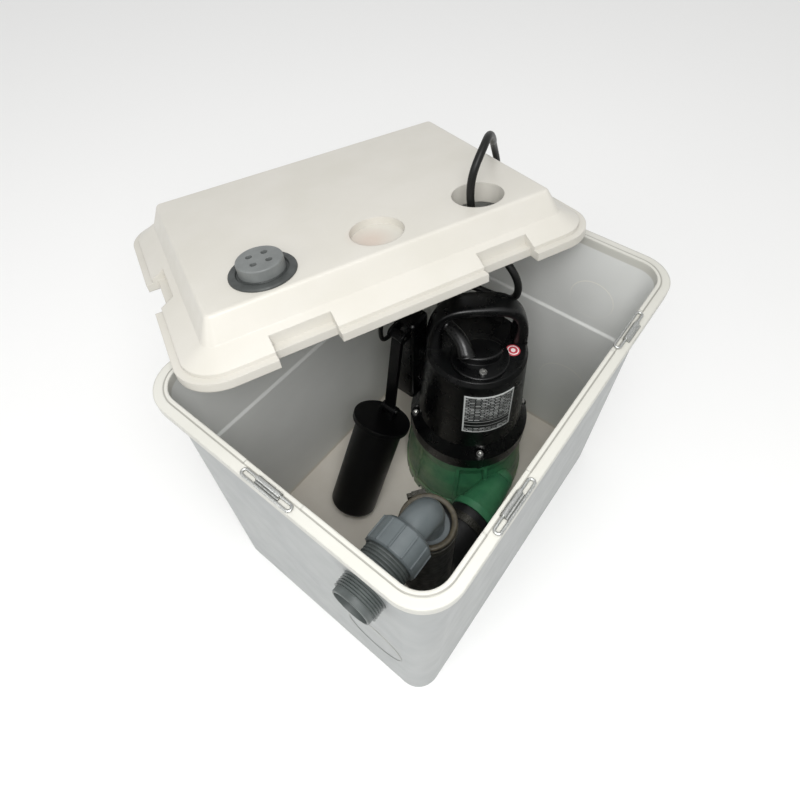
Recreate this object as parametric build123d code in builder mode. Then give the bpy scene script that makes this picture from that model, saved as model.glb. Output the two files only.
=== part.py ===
"""Above-ground waste water pump station: open tank, askew lid, submersible pump, float switch and discharge line.

Millimetres, +Z up. The origin is the middle of the tank's underside, +X runs along the tank's long side,
and the outlet is in the -X end wall. The lid lies askew on the rim, as it was set down.
"""
import os
from math import cos, degrees, pi, radians, sin, sqrt, tan

from build123d import *

os.makedirs("parts", exist_ok=True)

# Tank
rim_length = 412.0
rim_width = 308.0
rim_radius = 36.0
rim_band = 12.3
rim_overhang = 9.0
rim_depth = 9.0
rim_thickness = 3.2
tank_height = 340.0
base_inset = 10.3
base_radius = 25.0
wall = 3.6
floor_thickness = 4.0
ledge_drop = 117.0
ledge_width = 2.4
ledge_rise = 3.0
bead_width = 4.2
bead_height = 0.9

# Knock-outs in the end walls
knockout_y = -83.0
knockout_high_z = 264.0
knockout_high_radius = 26.0
knockout_low_z = 108.0
knockout_low_radius = 34.0
knockout_line = 1.2
knockout_raise = 0.8

# Wire latches on the rim
latch_offset = 102.0
latch_wire = 2.4
latch_length = 53.0
latch_fold = 5.4
latch_inset = 6.6
latch_lift = 1.5
latch_end_gap = 2.0
clip_length = 24.0
clip_width = 6.0
clip_sheet = 1.0
clip_play = 0.1
recess_length = 60.0

# Lid, lying askew
lid_length = 420.0
lid_width = 316.0
lid_radius = 42.0
lid_wall = 3.0
skirt_height = 8.7
ledge_step_in = 7.0
ledge_step_up = 3.8
crown_foot_in = 28.0
crown_foot_height = 24.0
crown_top_in = 39.0
crown_height = 46.8
crown_foot_radius = 12.0
crown_top_radius = 5.0
lid_x = 60.0
lid_y = 152.3
lid_yaw = -23.7
lid_pitch = -0.47
lid_roll = -10.85
seat_gap = 0.3
rib_offset = 45.0
rib_length = 300.0
rib_thickness = 3.0
notch_length = 56.0
notch_depth = 21.0
notch_lip = 9.0
crown_round = 4.0
port_spacing = 111.0
port_offset = -84.0
port_diameter = 52.0
port_depth = 22.0
dimple_depth = 8.0
gasket_width = 5.0
gasket_height = 3.0

# Vent
grommet_diameter = 61.5
grommet_rise = 3.0
vent_hole = 50.0
vent_cap_diameter = 42.0
vent_cap_height = 14.0
vent_spigot = 36.0
vent_pin_hole = 6.0
vent_pin_spacing = 14.0

# Pump placing
pump_x = 71.0
pump_y = -13.0
pump_front = -139.0

# Pump casing and motor
strainer_height = 18.0
strainer_radius = 77.0
volute_radius = 75.0
volute_top = 107.0
volute_foot = 10.0
volute_waist = 36.0
volute_waist_in = 3.0
volute_neck = 58.0
volute_neck_in = 9.0
flange_thick = 10.0
chamber_bottom = 8.0
chamber_height = 60.0
chamber_gap = 12.0
seal_plate_lip = 4.0
seal_hub_rise = 18.0
flange_radius = 70.0
housing_skirt_radius = 71.5
housing_skirt_top = 126.0
housing_neck_radius = 62.0
housing_neck_z = 142.0
housing_shoulder_radius = 55.0
housing_top = 252.0
housing_edge = 5.0
housing_wall = 4.0
shaft_diameter = 12.0
rotor_diameter = 52.0
rotor_height = 70.0
rotor_base = 142.0
air_gap = 0.6
stator_diameter = 90.0
impeller_diameter = 92.0
impeller_base = 36.0
impeller_plate = 4.0
vane_height = 14.0
vane_count = 6
seal_plate_thickness = 12.0
bearing_outer = 32.0
bearing_width = 10.0
running_gap = 0.05
case_screw_circle = 132.0
case_screw_angle = -135.0
rib_turns = (-20, 25, 115, 160, 205)
rib_stand = 1.5
rib_thick = 5.0
fin_turn = -127
fin_reach = 6.0

# Discharge line
pipe_y = -83.4
nozzle_z = 71.0
nozzle_lip_x = -22.0
nozzle_lip_radius = 27.0
nozzle_lip_width = 9.0
nozzle_throat_radius = 15.0
nozzle_throat_z = 57.0
nozzle_throat_in = 24.0
barb_radius = 20.0
barb_length = 26.0
nozzle_bore = 15.5
throat_bore = 9.0
throat_round = 0.4
outlet_drop = 77.0
outlet_thread_radius = 20.95
outlet_stub = 17.5
outlet_lip_radius = 18.9
outlet_lip_length = 5.5
outlet_bore = 17.0
bulkhead_flange_radius = 36.0
bulkhead_flange = 8.0
seal_thickness = 2.0
union_thread_radius = 22.0
union_reach = 26.0
union_nut_radius = 25.0
union_nut_length = 27.0
nut_ribs = 12
nut_rib_rise = 0.9
nut_rib_width = 1.8
riser_reach = 28.0
elbow_pipe_radius = 15.0
elbow_bend = 19.0
hose_radius = 26.5
hose_bore = 20.3
hose_mouth_bore = 21.3
mouth_drop = 27.0
hose_mouth_depth = 9.0
hose_bend = 48.0
spigot_length = 37.0
clamp_band = 9.0
clamp_sheet = 1.0
upper_clamp_drop = 11.0
lower_clamp_step = 15.0

# Check valve in the hose
valve_seat_length = 5.0
flap_radius = 17.0
flap_thickness = 2.4
flap_pin = 2.4

# Float switch
switch_x = 48.0
switch_y = 59.5
switch_width = 28.0
switch_depth = 28.0
switch_bottom = 140.0
switch_top = 272.0
arm_width = 13.0
arm_thickness = 5.0
arm_top_x = 24.0
arm_top_z = 262.0
arm_low_x = 4.0
arm_low_z = 143.0
float_y = 58.0
float_tilt = 29.4
float_length = 139.0
float_radius = 29.0
collar_radius = 35.0
collar_height = 6.0
pin_above_float = 10.0
pin_off_axis = 11.0
pin_diameter = 4.0

# Carry handle
handle_back = 8.0
handle_depth = 22.0
handle_half = 47.0
handle_top = 309.0
handle_thickness = 12.0
handle_shoulder = 30.0

# Cable entry
entry_offset = 18.0
entry_radius = 31.5
entry_rise = 4.0
plug_length = 48.0
plug_width = 30.0
plug_rise = 9.0
cord_diameter = 8.0
lead_diameter = 5.0

# Where the pieces stand
body_length = rim_length - 2 * rim_overhang
body_width = rim_width - 2 * rim_overhang
body_radius = rim_radius - rim_overhang
base_length = rim_length - 2 * base_inset
base_width = rim_width - 2 * base_inset
mouth_length = rim_length - 2 * rim_band
mouth_width = rim_width - 2 * rim_band
mouth_radius = rim_radius - rim_band
rim_underside = tank_height - rim_depth
ledge_height = tank_height - ledge_drop
outlet_z = tank_height - outlet_drop
hose_mouth_z = outlet_z - mouth_drop
spigot_bottom = hose_mouth_z - spigot_length


def wall_half(height):
    """Half the outer length of the tank at a height."""
    share = height / rim_underside
    return base_length / 2 + (body_length - base_length) / 2 * share


def direction(yaw):
    """Level unit vector at an angle from +X."""
    return Vector(cos(radians(yaw)), sin(radians(yaw)), 0)


def tube(path, radius):
    """Round bar along a path of tangent runs and arcs."""
    with BuildPart() as bar:
        with BuildLine() as line:
            add(path)
        start = line.wires()[0]
        with BuildSketch(Plane(origin=start @ 0, z_dir=start % 0)):
            Circle(radius)
        sweep(path=start)
    return bar.part


def cord_path(points):
    """Runs between the points joined by the largest arcs that the runs allow, with the radii."""
    vectors = [Vector(*point) for point in points]
    radii = []
    for before, corner, after in zip(vectors, vectors[1:], vectors[2:]):
        run_in, run_out = corner - before, after - corner
        half_turn = radians(run_in.get_angle(run_out)) / 2
        radii.append(0.45 * min(run_in.length, run_out.length) / tan(half_turn))
    with BuildLine(mode=Mode.PRIVATE) as line:
        FilletPolyline(*vectors, radius=radii)
    return line.wires()[0], radii


def save(piece, label):
    """Labels a finished piece and writes it out."""
    piece.label = label
    export_step(piece, f"parts/{label}.step")


# Tank shell: drafted walls, an inner ledge half way up, a flat rim with a bead and a turned-down edge
latch_places = [
    ("end", Vector(-rim_length / 2, 0, tank_height), Vector(0, -1, 0)),
    ("front_left", Vector(-latch_offset, -rim_width / 2, tank_height), Vector(1, 0, 0)),
    ("front_right", Vector(latch_offset, -rim_width / 2, tank_height), Vector(1, 0, 0)),
    ("back_left", Vector(-latch_offset, rim_width / 2, tank_height), Vector(-1, 0, 0)),
    ("back_right", Vector(latch_offset, rim_width / 2, tank_height), Vector(-1, 0, 0)),
]
latch_planes = {name: Plane(origin=spot, x_dir=along, z_dir=(0, 0, 1)) for name, spot, along in latch_places}
clip_pocket = 2 * clip_sheet
clip_middle = latch_inset - latch_wire / 4
outlet_wall_x = -wall_half(outlet_z)

with BuildPart() as tank:
    with BuildSketch(Plane.XY):
        RectangleRounded(base_length, base_width, base_radius)
    with BuildSketch(Plane.XY.offset(rim_underside)):
        RectangleRounded(body_length, body_width, body_radius)
    loft(ruled=True)
    with BuildSketch(Plane.XY.offset(rim_underside)):
        RectangleRounded(rim_length, rim_width, rim_radius)
    extrude(amount=rim_depth)
    with BuildSketch(Plane.XY.offset(rim_underside)):
        RectangleRounded(rim_length - 2 * rim_thickness, rim_width - 2 * rim_thickness, rim_radius - rim_thickness)
        RectangleRounded(body_length, body_width, body_radius, mode=Mode.SUBTRACT)
    extrude(amount=rim_depth - rim_thickness, mode=Mode.SUBTRACT)
    with BuildSketch(Plane.XY.offset(tank_height)):
        RectangleRounded(mouth_length + 2 * bead_width, mouth_width + 2 * bead_width, mouth_radius + bead_width)
    extrude(amount=bead_height)
    for plane in latch_planes.values():
        with BuildSketch(plane):
            with Locations((0, rim_band)):
                Rectangle(recess_length, 2 * bead_width + 1)
        extrude(amount=2 * bead_height, mode=Mode.SUBTRACT)
        with BuildSketch(plane):
            with Locations((0, clip_middle)):
                Rectangle(clip_length + 2 * seat_gap, clip_width + 2 * seat_gap)
        extrude(amount=-clip_pocket, mode=Mode.SUBTRACT)
    low_half = wall + ledge_width
    with BuildSketch(Plane.XY.offset(floor_thickness)):
        RectangleRounded(base_length - 2 * low_half, base_width - 2 * low_half, base_radius - low_half)
    with BuildSketch(Plane.XY.offset(ledge_height)):
        length_there = 2 * wall_half(ledge_height)
        width_there = length_there - base_length + base_width
        RectangleRounded(length_there - 2 * low_half, width_there - 2 * low_half, body_radius - low_half)
    loft(ruled=True, mode=Mode.SUBTRACT)
    with BuildSketch(Plane.XY.offset(ledge_height)):
        RectangleRounded(length_there - 2 * low_half, width_there - 2 * low_half, body_radius - low_half)
    with BuildSketch(Plane.XY.offset(ledge_height + ledge_rise)):
        RectangleRounded(length_there - 2 * wall, width_there - 2 * wall, body_radius - wall)
    loft(ruled=True, mode=Mode.SUBTRACT)
    with BuildSketch(Plane.XY.offset(ledge_height + ledge_rise)):
        RectangleRounded(length_there - 2 * wall, width_there - 2 * wall, body_radius - wall)
    with BuildSketch(Plane.XY.offset(tank_height + bead_height)):
        RectangleRounded(mouth_length, mouth_width, mouth_radius)
    loft(ruled=True, mode=Mode.SUBTRACT)
    with BuildSketch(Plane.YZ.offset(-rim_length / 2)):
        with Locations((pipe_y, outlet_z)):
            Circle(outlet_thread_radius + running_gap)
    extrude(amount=rim_length / 3, mode=Mode.SUBTRACT)
    for side, centre_z, radius in (
        (1, knockout_high_z, knockout_high_radius),
        (1, knockout_low_z, knockout_low_radius),
        (-1, knockout_low_z, knockout_low_radius),
    ):
        face_x = wall_half(centre_z) + knockout_raise - 0.2
        with BuildSketch(Plane.YZ.offset(side * face_x)):
            with Locations((knockout_y, centre_z)):
                Circle(radius)
                Circle(radius - knockout_line, mode=Mode.SUBTRACT)
        extrude(amount=-side * (knockout_raise + wall / 2))
save(tank.part, "tank")

# Lid: where it lies, with its left skirt on the back rim and a rib on the corner of the rim
yaw, pitch, roll = radians(lid_yaw), radians(lid_pitch), radians(lid_roll)
lid_u = Vector(cos(yaw) * cos(pitch), sin(yaw) * cos(pitch), -sin(pitch))
level = Vector(-sin(yaw), cos(yaw), 0)
lid_v = level * cos(roll) + lid_u.cross(level) * sin(roll)
lid_n = lid_u.cross(lid_v)
seat_v = (rim_width / 2 - lid_y + lid_length / 2 * lid_u.Y) / lid_v.Y
lid_z = tank_height + seat_gap + lid_length / 2 * lid_u.Z - seat_v * lid_v.Z
lid_origin = Vector(lid_x, lid_y, lid_z)
lid_plane = Plane(origin=lid_origin, x_dir=lid_u, z_dir=lid_n)
rib_edge = rib_offset + rib_thickness / 2
rib_bottom = (tank_height + seat_gap - lid_z - rib_edge * lid_v.Z) / lid_n.Z


def lid_point(along, across, up):
    """World place of a point given in the lid's own axes."""
    return lid_origin + lid_u * along + lid_v * across + lid_n * up


def lid_level(height):
    """Plane parallel to the lid's skirt edge at a height above it."""
    return lid_plane.offset(height)


def stacked(levels):
    """Solid lofted through rounded rectangles, two heights at a time."""
    with BuildPart() as stack:
        for low, high in zip(levels, levels[1:]):
            for height, length, width, radius in (low, high):
                with BuildSketch(lid_level(height)):
                    RectangleRounded(length, width, radius)
            loft(ruled=True)
    return stack.part


step_top = skirt_height + ledge_step_up
crown_foot = (lid_length - 2 * crown_foot_in, lid_width - 2 * crown_foot_in)
crown_top = (lid_length - 2 * crown_top_in, lid_width - 2 * crown_top_in)
step_size = (lid_length - 2 * ledge_step_in, lid_width - 2 * ledge_step_in)
shell_levels = [
    (0, lid_length, lid_width, lid_radius),
    (skirt_height, lid_length, lid_width, lid_radius),
]
upper_levels = [
    (skirt_height, *step_size, lid_radius - ledge_step_in),
    (step_top, *step_size, lid_radius - ledge_step_in),
    (crown_foot_height, *crown_foot, crown_foot_radius),
    (crown_height, *crown_top, crown_top_radius),
]
hollow_levels = [
    (-1, lid_length - 2 * lid_wall, lid_width - 2 * lid_wall, lid_radius - lid_wall),
    (skirt_height - lid_wall, lid_length - 2 * lid_wall, lid_width - 2 * lid_wall, lid_radius - lid_wall),
]
upper_hollow_levels = [
    (height - lid_wall, length - 2 * lid_wall, width - 2 * lid_wall, max(radius - lid_wall, 2))
    for height, length, width, radius in upper_levels
]
notch_places = [(-latch_offset, -1), (latch_offset, -1)]
ports = [(-port_spacing, port_offset), (0, port_offset), (port_spacing, port_offset)]
skirt_parts = stacked(shell_levels)
crown_sharp = stacked(upper_levels)
crown_face = crown_sharp.faces().sort_by(Axis(lid_origin, lid_n))[-1]
crown_parts = crown_sharp.fillet(crown_round, crown_face.edges())
skirt_hollow = stacked(hollow_levels)
crown_hollow = stacked(upper_hollow_levels)

notch_shelf = notch_depth - notch_lip
with BuildPart() as notches:
    with BuildSketch(lid_level(-1)):
        with Locations(*[(x, -lid_width / 2) for x, _ in notch_places]):
            Rectangle(notch_length, 2 * notch_shelf)
        with Locations((-lid_length / 2, 0)):
            Rectangle(2 * notch_shelf, notch_length)
    extrude(amount=crown_height)
    with BuildSketch(lid_level(skirt_height)):
        with Locations(*[(x, -lid_width / 2) for x, _ in notch_places]):
            Rectangle(notch_length, 2 * notch_depth)
        with Locations((-lid_length / 2, 0)):
            Rectangle(2 * notch_depth, notch_length)
    extrude(amount=crown_height)
with BuildPart() as notch_liners:
    with BuildSketch(lid_level(-2)):
        with Locations(*[(x, -lid_width / 2) for x, _ in notch_places]):
            Rectangle(notch_length + 2 * lid_wall, 2 * (notch_shelf + lid_wall))
        with Locations((-lid_length / 2, 0)):
            Rectangle(2 * (notch_shelf + lid_wall), notch_length + 2 * lid_wall)
    extrude(amount=crown_height)
    with BuildSketch(lid_level(skirt_height - lid_wall)):
        with Locations(*[(x, -lid_width / 2) for x, _ in notch_places]):
            Rectangle(notch_length + 2 * lid_wall, 2 * (notch_depth + lid_wall))
        with Locations((-lid_length / 2, 0)):
            Rectangle(2 * (notch_depth + lid_wall), notch_length + 2 * lid_wall)
    extrude(amount=crown_height)

with BuildPart() as hollow:
    add(skirt_hollow)
    add(crown_hollow)
    add(notch_liners.part, mode=Mode.SUBTRACT)
    with BuildSketch(lid_level(crown_height - port_depth)):
        with Locations(ports[2]):
            Circle(port_diameter / 2 + lid_wall)
    extrude(amount=port_depth, mode=Mode.SUBTRACT)
    with BuildSketch(lid_level(crown_height - dimple_depth - lid_wall)):
        with Locations(ports[1]):
            Circle(port_diameter / 2 + lid_wall)
    extrude(amount=port_depth, mode=Mode.SUBTRACT)
    with BuildSketch(lid_level(rib_bottom)):
        with Locations((0, rib_offset), (0, -rib_offset)):
            Rectangle(rib_length, rib_thickness)
    extrude(amount=crown_height, mode=Mode.SUBTRACT)

with BuildPart() as lid:
    add(skirt_parts)
    add(crown_parts)
    add(notches.part, mode=Mode.SUBTRACT)
    add(hollow.part, mode=Mode.SUBTRACT)
    with BuildSketch(lid_level(0)):
        with Locations(ports[2]):
            Circle(port_diameter / 2)
        with Locations(ports[0]):
            Circle(vent_hole / 2)
    extrude(amount=2 * crown_height, mode=Mode.SUBTRACT)
    with BuildSketch(lid_level(crown_height)):
        with Locations(ports[1]):
            Circle(port_diameter / 2)
    extrude(amount=-dimple_depth, mode=Mode.SUBTRACT)
save(lid.part, "lid")

# Sealing strip under the ledge, open at the notches
strip_in = lid_wall + running_gap
with BuildPart() as lid_seal:
    with BuildSketch(lid_level(skirt_height - lid_wall)):
        RectangleRounded(lid_length - 2 * strip_in, lid_width - 2 * strip_in, lid_radius - strip_in)
        strip_end = strip_in + gasket_width
        RectangleRounded(
            lid_length - 2 * strip_end, lid_width - 2 * strip_end, lid_radius - strip_end, mode=Mode.SUBTRACT
        )
    extrude(amount=-gasket_height)
    with BuildSketch(lid_level(0)):
        with Locations(*[(x, -lid_width / 2) for x, _ in notch_places]):
            Rectangle(notch_length + 3 * lid_wall, 2 * (notch_depth + 2 * lid_wall))
        with Locations((-lid_length / 2, 0)):
            Rectangle(2 * (notch_depth + 2 * lid_wall), notch_length + 3 * lid_wall)
    extrude(amount=crown_height, mode=Mode.SUBTRACT)
save(lid_seal.part, "lid_seal")

# Vent: a rubber grommet through the crown, and a ribbed cap that turns in it
vent_u, vent_v = ports[0]
groove = lid_wall + 0.1
with BuildPart() as vent_grommet:
    for height, radius, rise in (
        (crown_height, grommet_diameter / 2, grommet_rise),
        (crown_height - groove, vent_hole / 2 - running_gap, groove),
        (crown_height - groove - grommet_rise, vent_hole / 2 + lid_wall, grommet_rise),
    ):
        with BuildSketch(lid_level(height)):
            with Locations((vent_u, vent_v)):
                Circle(radius)
        extrude(amount=rise)
    fillet(vent_grommet.edges().filter_by(GeomType.CIRCLE).sort_by(Axis(lid_origin, lid_n))[-1], grommet_rise / 2)
    with BuildSketch(lid_level(0)):
        with Locations((vent_u, vent_v)):
            Circle(vent_spigot / 2 + running_gap)
    extrude(amount=2 * crown_height, mode=Mode.SUBTRACT)
save(vent_grommet.part, "vent_grommet")

cap_seat = crown_height + grommet_rise
with BuildPart() as vent_cap:
    with BuildSketch(lid_level(cap_seat)):
        with Locations((vent_u, vent_v)):
            Circle(vent_cap_diameter / 2)
    extrude(amount=vent_cap_height - grommet_rise)
    fillet(vent_cap.edges().filter_by(GeomType.CIRCLE).sort_by(Axis(lid_origin, lid_n))[-1], 1.5)
    with BuildSketch(lid_level(cap_seat - 3 * grommet_rise)):
        with Locations((vent_u, vent_v)):
            Circle(vent_spigot / 2)
    extrude(amount=3 * grommet_rise)
    with BuildSketch(lid_level(0)):
        with Locations((vent_u, vent_v)):
            with GridLocations(vent_pin_spacing, vent_pin_spacing, 2, 2):
                Circle(vent_pin_hole / 2)
    extrude(amount=3 * crown_height, mode=Mode.SUBTRACT)
save(vent_cap.part, "vent_cap")

# Latches: a clip let into the rim, and a wire bail whose two ends turn in it
turn_at = latch_length / 2 - latch_wire / 2 - latch_fold / 2
with BuildPart() as latch_clips:
    for plane in latch_planes.values():
        end_plane = Plane(
            origin=plane.from_local_coords(Vector(-clip_length / 2, 0, 0)), x_dir=plane.y_dir, z_dir=plane.x_dir
        )
        with BuildSketch(end_plane):
            with Locations((clip_middle, -clip_pocket)):
                Rectangle(clip_width, clip_pocket + clip_sheet / 2, align=(Align.CENTER, Align.MIN))
            with Locations((latch_inset, -clip_pocket)):
                tunnel = latch_wire + 2 * clip_play + 2 * clip_sheet
                Rectangle(tunnel, clip_pocket + latch_lift, align=(Align.CENTER, Align.MIN))
            with Locations((latch_inset, latch_lift)):
                Circle(tunnel / 2)
                Circle(latch_wire / 2 + clip_play, mode=Mode.SUBTRACT)
        extrude(amount=clip_length)
save(latch_clips.part, "latch_clips")

for name, plane in latch_planes.items():
    side = 1 if name == "front_right" else -1
    bail_plane = Plane(
        origin=plane.from_local_coords(Vector(0, latch_inset, latch_lift)), x_dir=plane.x_dir, z_dir=plane.z_dir
    )
    with BuildPart() as bail:
        with BuildLine(bail_plane):
            first = Line((-latch_end_gap, 0), (-turn_at, 0))
            second = ThreePointArc(
                (-turn_at, 0), (-turn_at - latch_fold / 2, side * latch_fold / 2), (-turn_at, side * latch_fold)
            )
            third = Line((-turn_at, side * latch_fold), (turn_at, side * latch_fold))
            fourth = ThreePointArc(
                (turn_at, side * latch_fold), (turn_at + latch_fold / 2, side * latch_fold / 2), (turn_at, 0)
            )
            fifth = Line((turn_at, 0), (latch_end_gap, 0))
        start = bail_plane.from_local_coords(Vector(-latch_end_gap, 0, 0))
        with BuildSketch(Plane(origin=start, z_dir=bail_plane.x_dir * -1)):
            Circle(latch_wire / 2)
        sweep()
    save(bail.part, f"latch_bail_{name}")

# Pump casing: everything turned shares one upright section plane and axis
pump_plane = Plane(origin=(pump_x, pump_y, 0), x_dir=(1, 0, 0), z_dir=(0, -1, 0))
pump_axis = Axis((pump_x, pump_y, 0), (0, 0, 1))
front = direction(pump_front)
right_side = direction(pump_front + 90)
pump_centre = Vector(pump_x, pump_y, 0)


def turned(points, plane=pump_plane, axis=pump_axis, arc=360.0):
    """Solid made by turning a closed outline about an axis."""
    with BuildPart() as solid:
        with BuildSketch(plane):
            with BuildLine():
                Polyline(*points, close=True)
            make_face()
        revolve(axis=axis, revolution_arc=arc)
    return solid.part


strainer_top = floor_thickness + strainer_height
chamber_floor = strainer_top + chamber_bottom
chamber_top = strainer_top + chamber_height
chamber_radius = impeller_diameter / 2 + chamber_gap
seal_plate_radius = chamber_radius + seal_plate_lip
eye_radius = 20.0
strainer_wall = 4.0
slot_count = 28
slot_width = 5.0

with BuildPart() as strainer:
    with BuildSketch(Plane.XY.offset(floor_thickness)):
        with Locations((pump_x, pump_y)):
            Circle(strainer_radius)
    extrude(amount=strainer_height)
    with BuildSketch(Plane.XY.offset(floor_thickness)):
        with Locations((pump_x, pump_y)):
            Circle(strainer_radius - strainer_wall)
    extrude(amount=strainer_height - strainer_wall, mode=Mode.SUBTRACT)
    with BuildSketch(Plane.XY.offset(floor_thickness)):
        with Locations((pump_x, pump_y)):
            Circle(eye_radius)
    extrude(amount=strainer_height, mode=Mode.SUBTRACT)
    with BuildSketch(Plane.XY.offset(floor_thickness)):
        with Locations((pump_x, pump_y)):
            with PolarLocations(strainer_radius, slot_count):
                Rectangle(4 * strainer_wall, slot_width)
    extrude(amount=strainer_height - 2 * strainer_wall, mode=Mode.SUBTRACT)
save(strainer.part, "strainer")

# Volute: turned chamber, ribs, and a tangential outlet with a stepped barb
nozzle_end_x = pump_x - nozzle_throat_in
pipe_radius = nozzle_lip_radius - 2.5
nozzle_foot_x = nozzle_lip_x + nozzle_lip_width
lip_spot = Plane(origin=(nozzle_foot_x, pipe_y, nozzle_z), z_dir=(1, 0, 0))
throat_spot = Plane(origin=(nozzle_end_x, pipe_y, nozzle_throat_z), z_dir=(1, 0, 0))
volute_body = turned([
    (0, strainer_top), (volute_radius, strainer_top), (volute_radius, strainer_top + volute_foot),
    (volute_radius - volute_waist_in, strainer_top + volute_waist),
    (volute_radius - volute_neck_in, strainer_top + volute_neck),
    (volute_radius - volute_neck_in, volute_top - flange_thick), (flange_radius, volute_top - flange_thick),
    (flange_radius, volute_top), (0, volute_top),
])
volute_hollow = turned([
    (0, chamber_floor), (chamber_radius, chamber_floor), (chamber_radius, chamber_top),
    (seal_plate_radius + running_gap, chamber_top), (seal_plate_radius + running_gap, volute_top + 1),
    (0, volute_top + 1),
])
with BuildPart() as volute:
    add(volute_body)
    with BuildSketch(lip_spot):
        Circle(pipe_radius)
    with BuildSketch(throat_spot):
        Circle(nozzle_throat_radius)
    loft()
    with Locations(throat_spot.origin):
        Sphere(nozzle_throat_radius + throat_round)
    with BuildSketch(Plane.YZ.offset(nozzle_lip_x)):
        with Locations((pipe_y, nozzle_z)):
            Circle(nozzle_lip_radius)
    extrude(amount=nozzle_lip_width)
    with BuildSketch(Plane.YZ.offset(nozzle_lip_x - barb_length)):
        with Locations((pipe_y, nozzle_z)):
            Circle(barb_radius)
    extrude(amount=barb_length)
    for turn in rib_turns + (fin_turn,):
        rib_reach = fin_reach if turn == fin_turn else rib_stand
        rib_plane = Plane(origin=pump_centre, x_dir=direction(turn), z_dir=direction(turn - 90))
        with BuildSketch(rib_plane):
            with BuildLine():
                Polyline(
                    (volute_radius - 12, strainer_top), (volute_radius + rib_reach, strainer_top),
                    (volute_radius + rib_reach, strainer_top + 12), (flange_radius - 1, volute_top - 8),
                    (volute_radius - 12, volute_top - 8), close=True
                )
            make_face()
        extrude(amount=rib_thick / 2, both=True)
    add(volute_hollow, mode=Mode.SUBTRACT)
    with BuildSketch(Plane.XY.offset(strainer_top)):
        with Locations((pump_x, pump_y)):
            Circle(eye_radius)
    extrude(amount=chamber_floor - strainer_top, mode=Mode.SUBTRACT)
    with BuildSketch(Plane.YZ.offset(nozzle_lip_x - barb_length)):
        with Locations((pipe_y, nozzle_z)):
            Circle(nozzle_bore)
    extrude(amount=barb_length + nozzle_lip_width, mode=Mode.SUBTRACT)
    with BuildSketch(lip_spot):
        Circle(nozzle_bore)
    with BuildSketch(throat_spot):
        Circle(throat_bore)
    loft(mode=Mode.SUBTRACT)
    with Locations(throat_spot.origin):
        Sphere(throat_bore + throat_round, mode=Mode.SUBTRACT)
    into = (pump_centre - Vector(nozzle_end_x, pipe_y, 0)).normalized()
    with BuildSketch(Plane(origin=throat_spot.origin, z_dir=into)):
        Circle(throat_bore - throat_round)
    extrude(amount=chamber_radius / 2 + 10, mode=Mode.SUBTRACT)
    with BuildSketch(Plane.XY.offset(volute_top)):
        with Locations((pump_x, pump_y)):
            with PolarLocations(case_screw_circle / 2, 4, start_angle=case_screw_angle):
                Circle(2.05)
    extrude(amount=-9, mode=Mode.SUBTRACT)
save(volute.part, "volute")

# Seal plate with the lower bearing's pocket above and the shaft seal's pocket below
plate_top = chamber_top + seal_plate_thickness
hub_top = plate_top + seal_hub_rise
shaft_radius = shaft_diameter / 2
bearing_radius = bearing_outer / 2
seal_radius = 12.0
seal_depth = 9.0
seal_plate_solid = turned([
    (shaft_radius + 4 * running_gap, chamber_top + seal_depth), (seal_radius + running_gap, chamber_top + seal_depth),
    (seal_radius + running_gap, chamber_top), (seal_plate_radius, chamber_top), (seal_plate_radius, plate_top),
    (bearing_radius + 5, plate_top), (bearing_radius + 5, hub_top), (bearing_radius + running_gap, hub_top),
    (bearing_radius + running_gap, hub_top - bearing_width), (shaft_radius + 4 * running_gap, hub_top - bearing_width),
])
save(seal_plate_solid, "seal_plate")
shaft_seal = turned([
    (shaft_radius + running_gap, chamber_top), (seal_radius, chamber_top), (seal_radius, chamber_top + seal_depth),
    (shaft_radius + running_gap, chamber_top + seal_depth),
])
save(shaft_seal, "shaft_seal")
lower_bearing = turned([
    (shaft_radius + running_gap, hub_top - bearing_width), (bearing_radius, hub_top - bearing_width),
    (bearing_radius, hub_top), (shaft_radius + running_gap, hub_top),
])
save(lower_bearing, "lower_bearing")

# Motor housing: bell outline, flat top with two handle lugs, screw bosses on the skirt
core_radius = stator_diameter / 2 + running_gap
stator_base = rotor_base - 5
stator_top = stator_base + rotor_height + 10
crown_hub_top = housing_top - 8
upper_bearing_base = crown_hub_top - bearing_width
bell = [
    (housing_skirt_radius, volute_top), (housing_skirt_radius, housing_skirt_top),
    (housing_neck_radius, housing_neck_z), (housing_shoulder_radius, housing_top - housing_edge),
    (housing_shoulder_radius - housing_edge + 1.5, housing_top),
]
housing_body = turned([(0, volute_top), *bell, (0, housing_top)])
housing_core = turned([
    (0, volute_top - 1), (housing_skirt_radius - 13, volute_top - 1), (housing_skirt_radius - 13, housing_skirt_top),
    (core_radius, housing_skirt_top + 6), (core_radius, stator_top), (core_radius - 4, stator_top),
    (core_radius - 4, crown_hub_top), (bearing_radius + 4, crown_hub_top),
    (bearing_radius + 4, upper_bearing_base), (bearing_radius + running_gap, upper_bearing_base),
    (bearing_radius + running_gap, crown_hub_top), (0, crown_hub_top),
])
screw_seat = housing_skirt_top + 2
lug_size = 15.0
lug_height = 20.0
handle_centre = pump_centre + front * -handle_back
handle_plane = Plane(origin=handle_centre, x_dir=right_side, z_dir=front)
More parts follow.
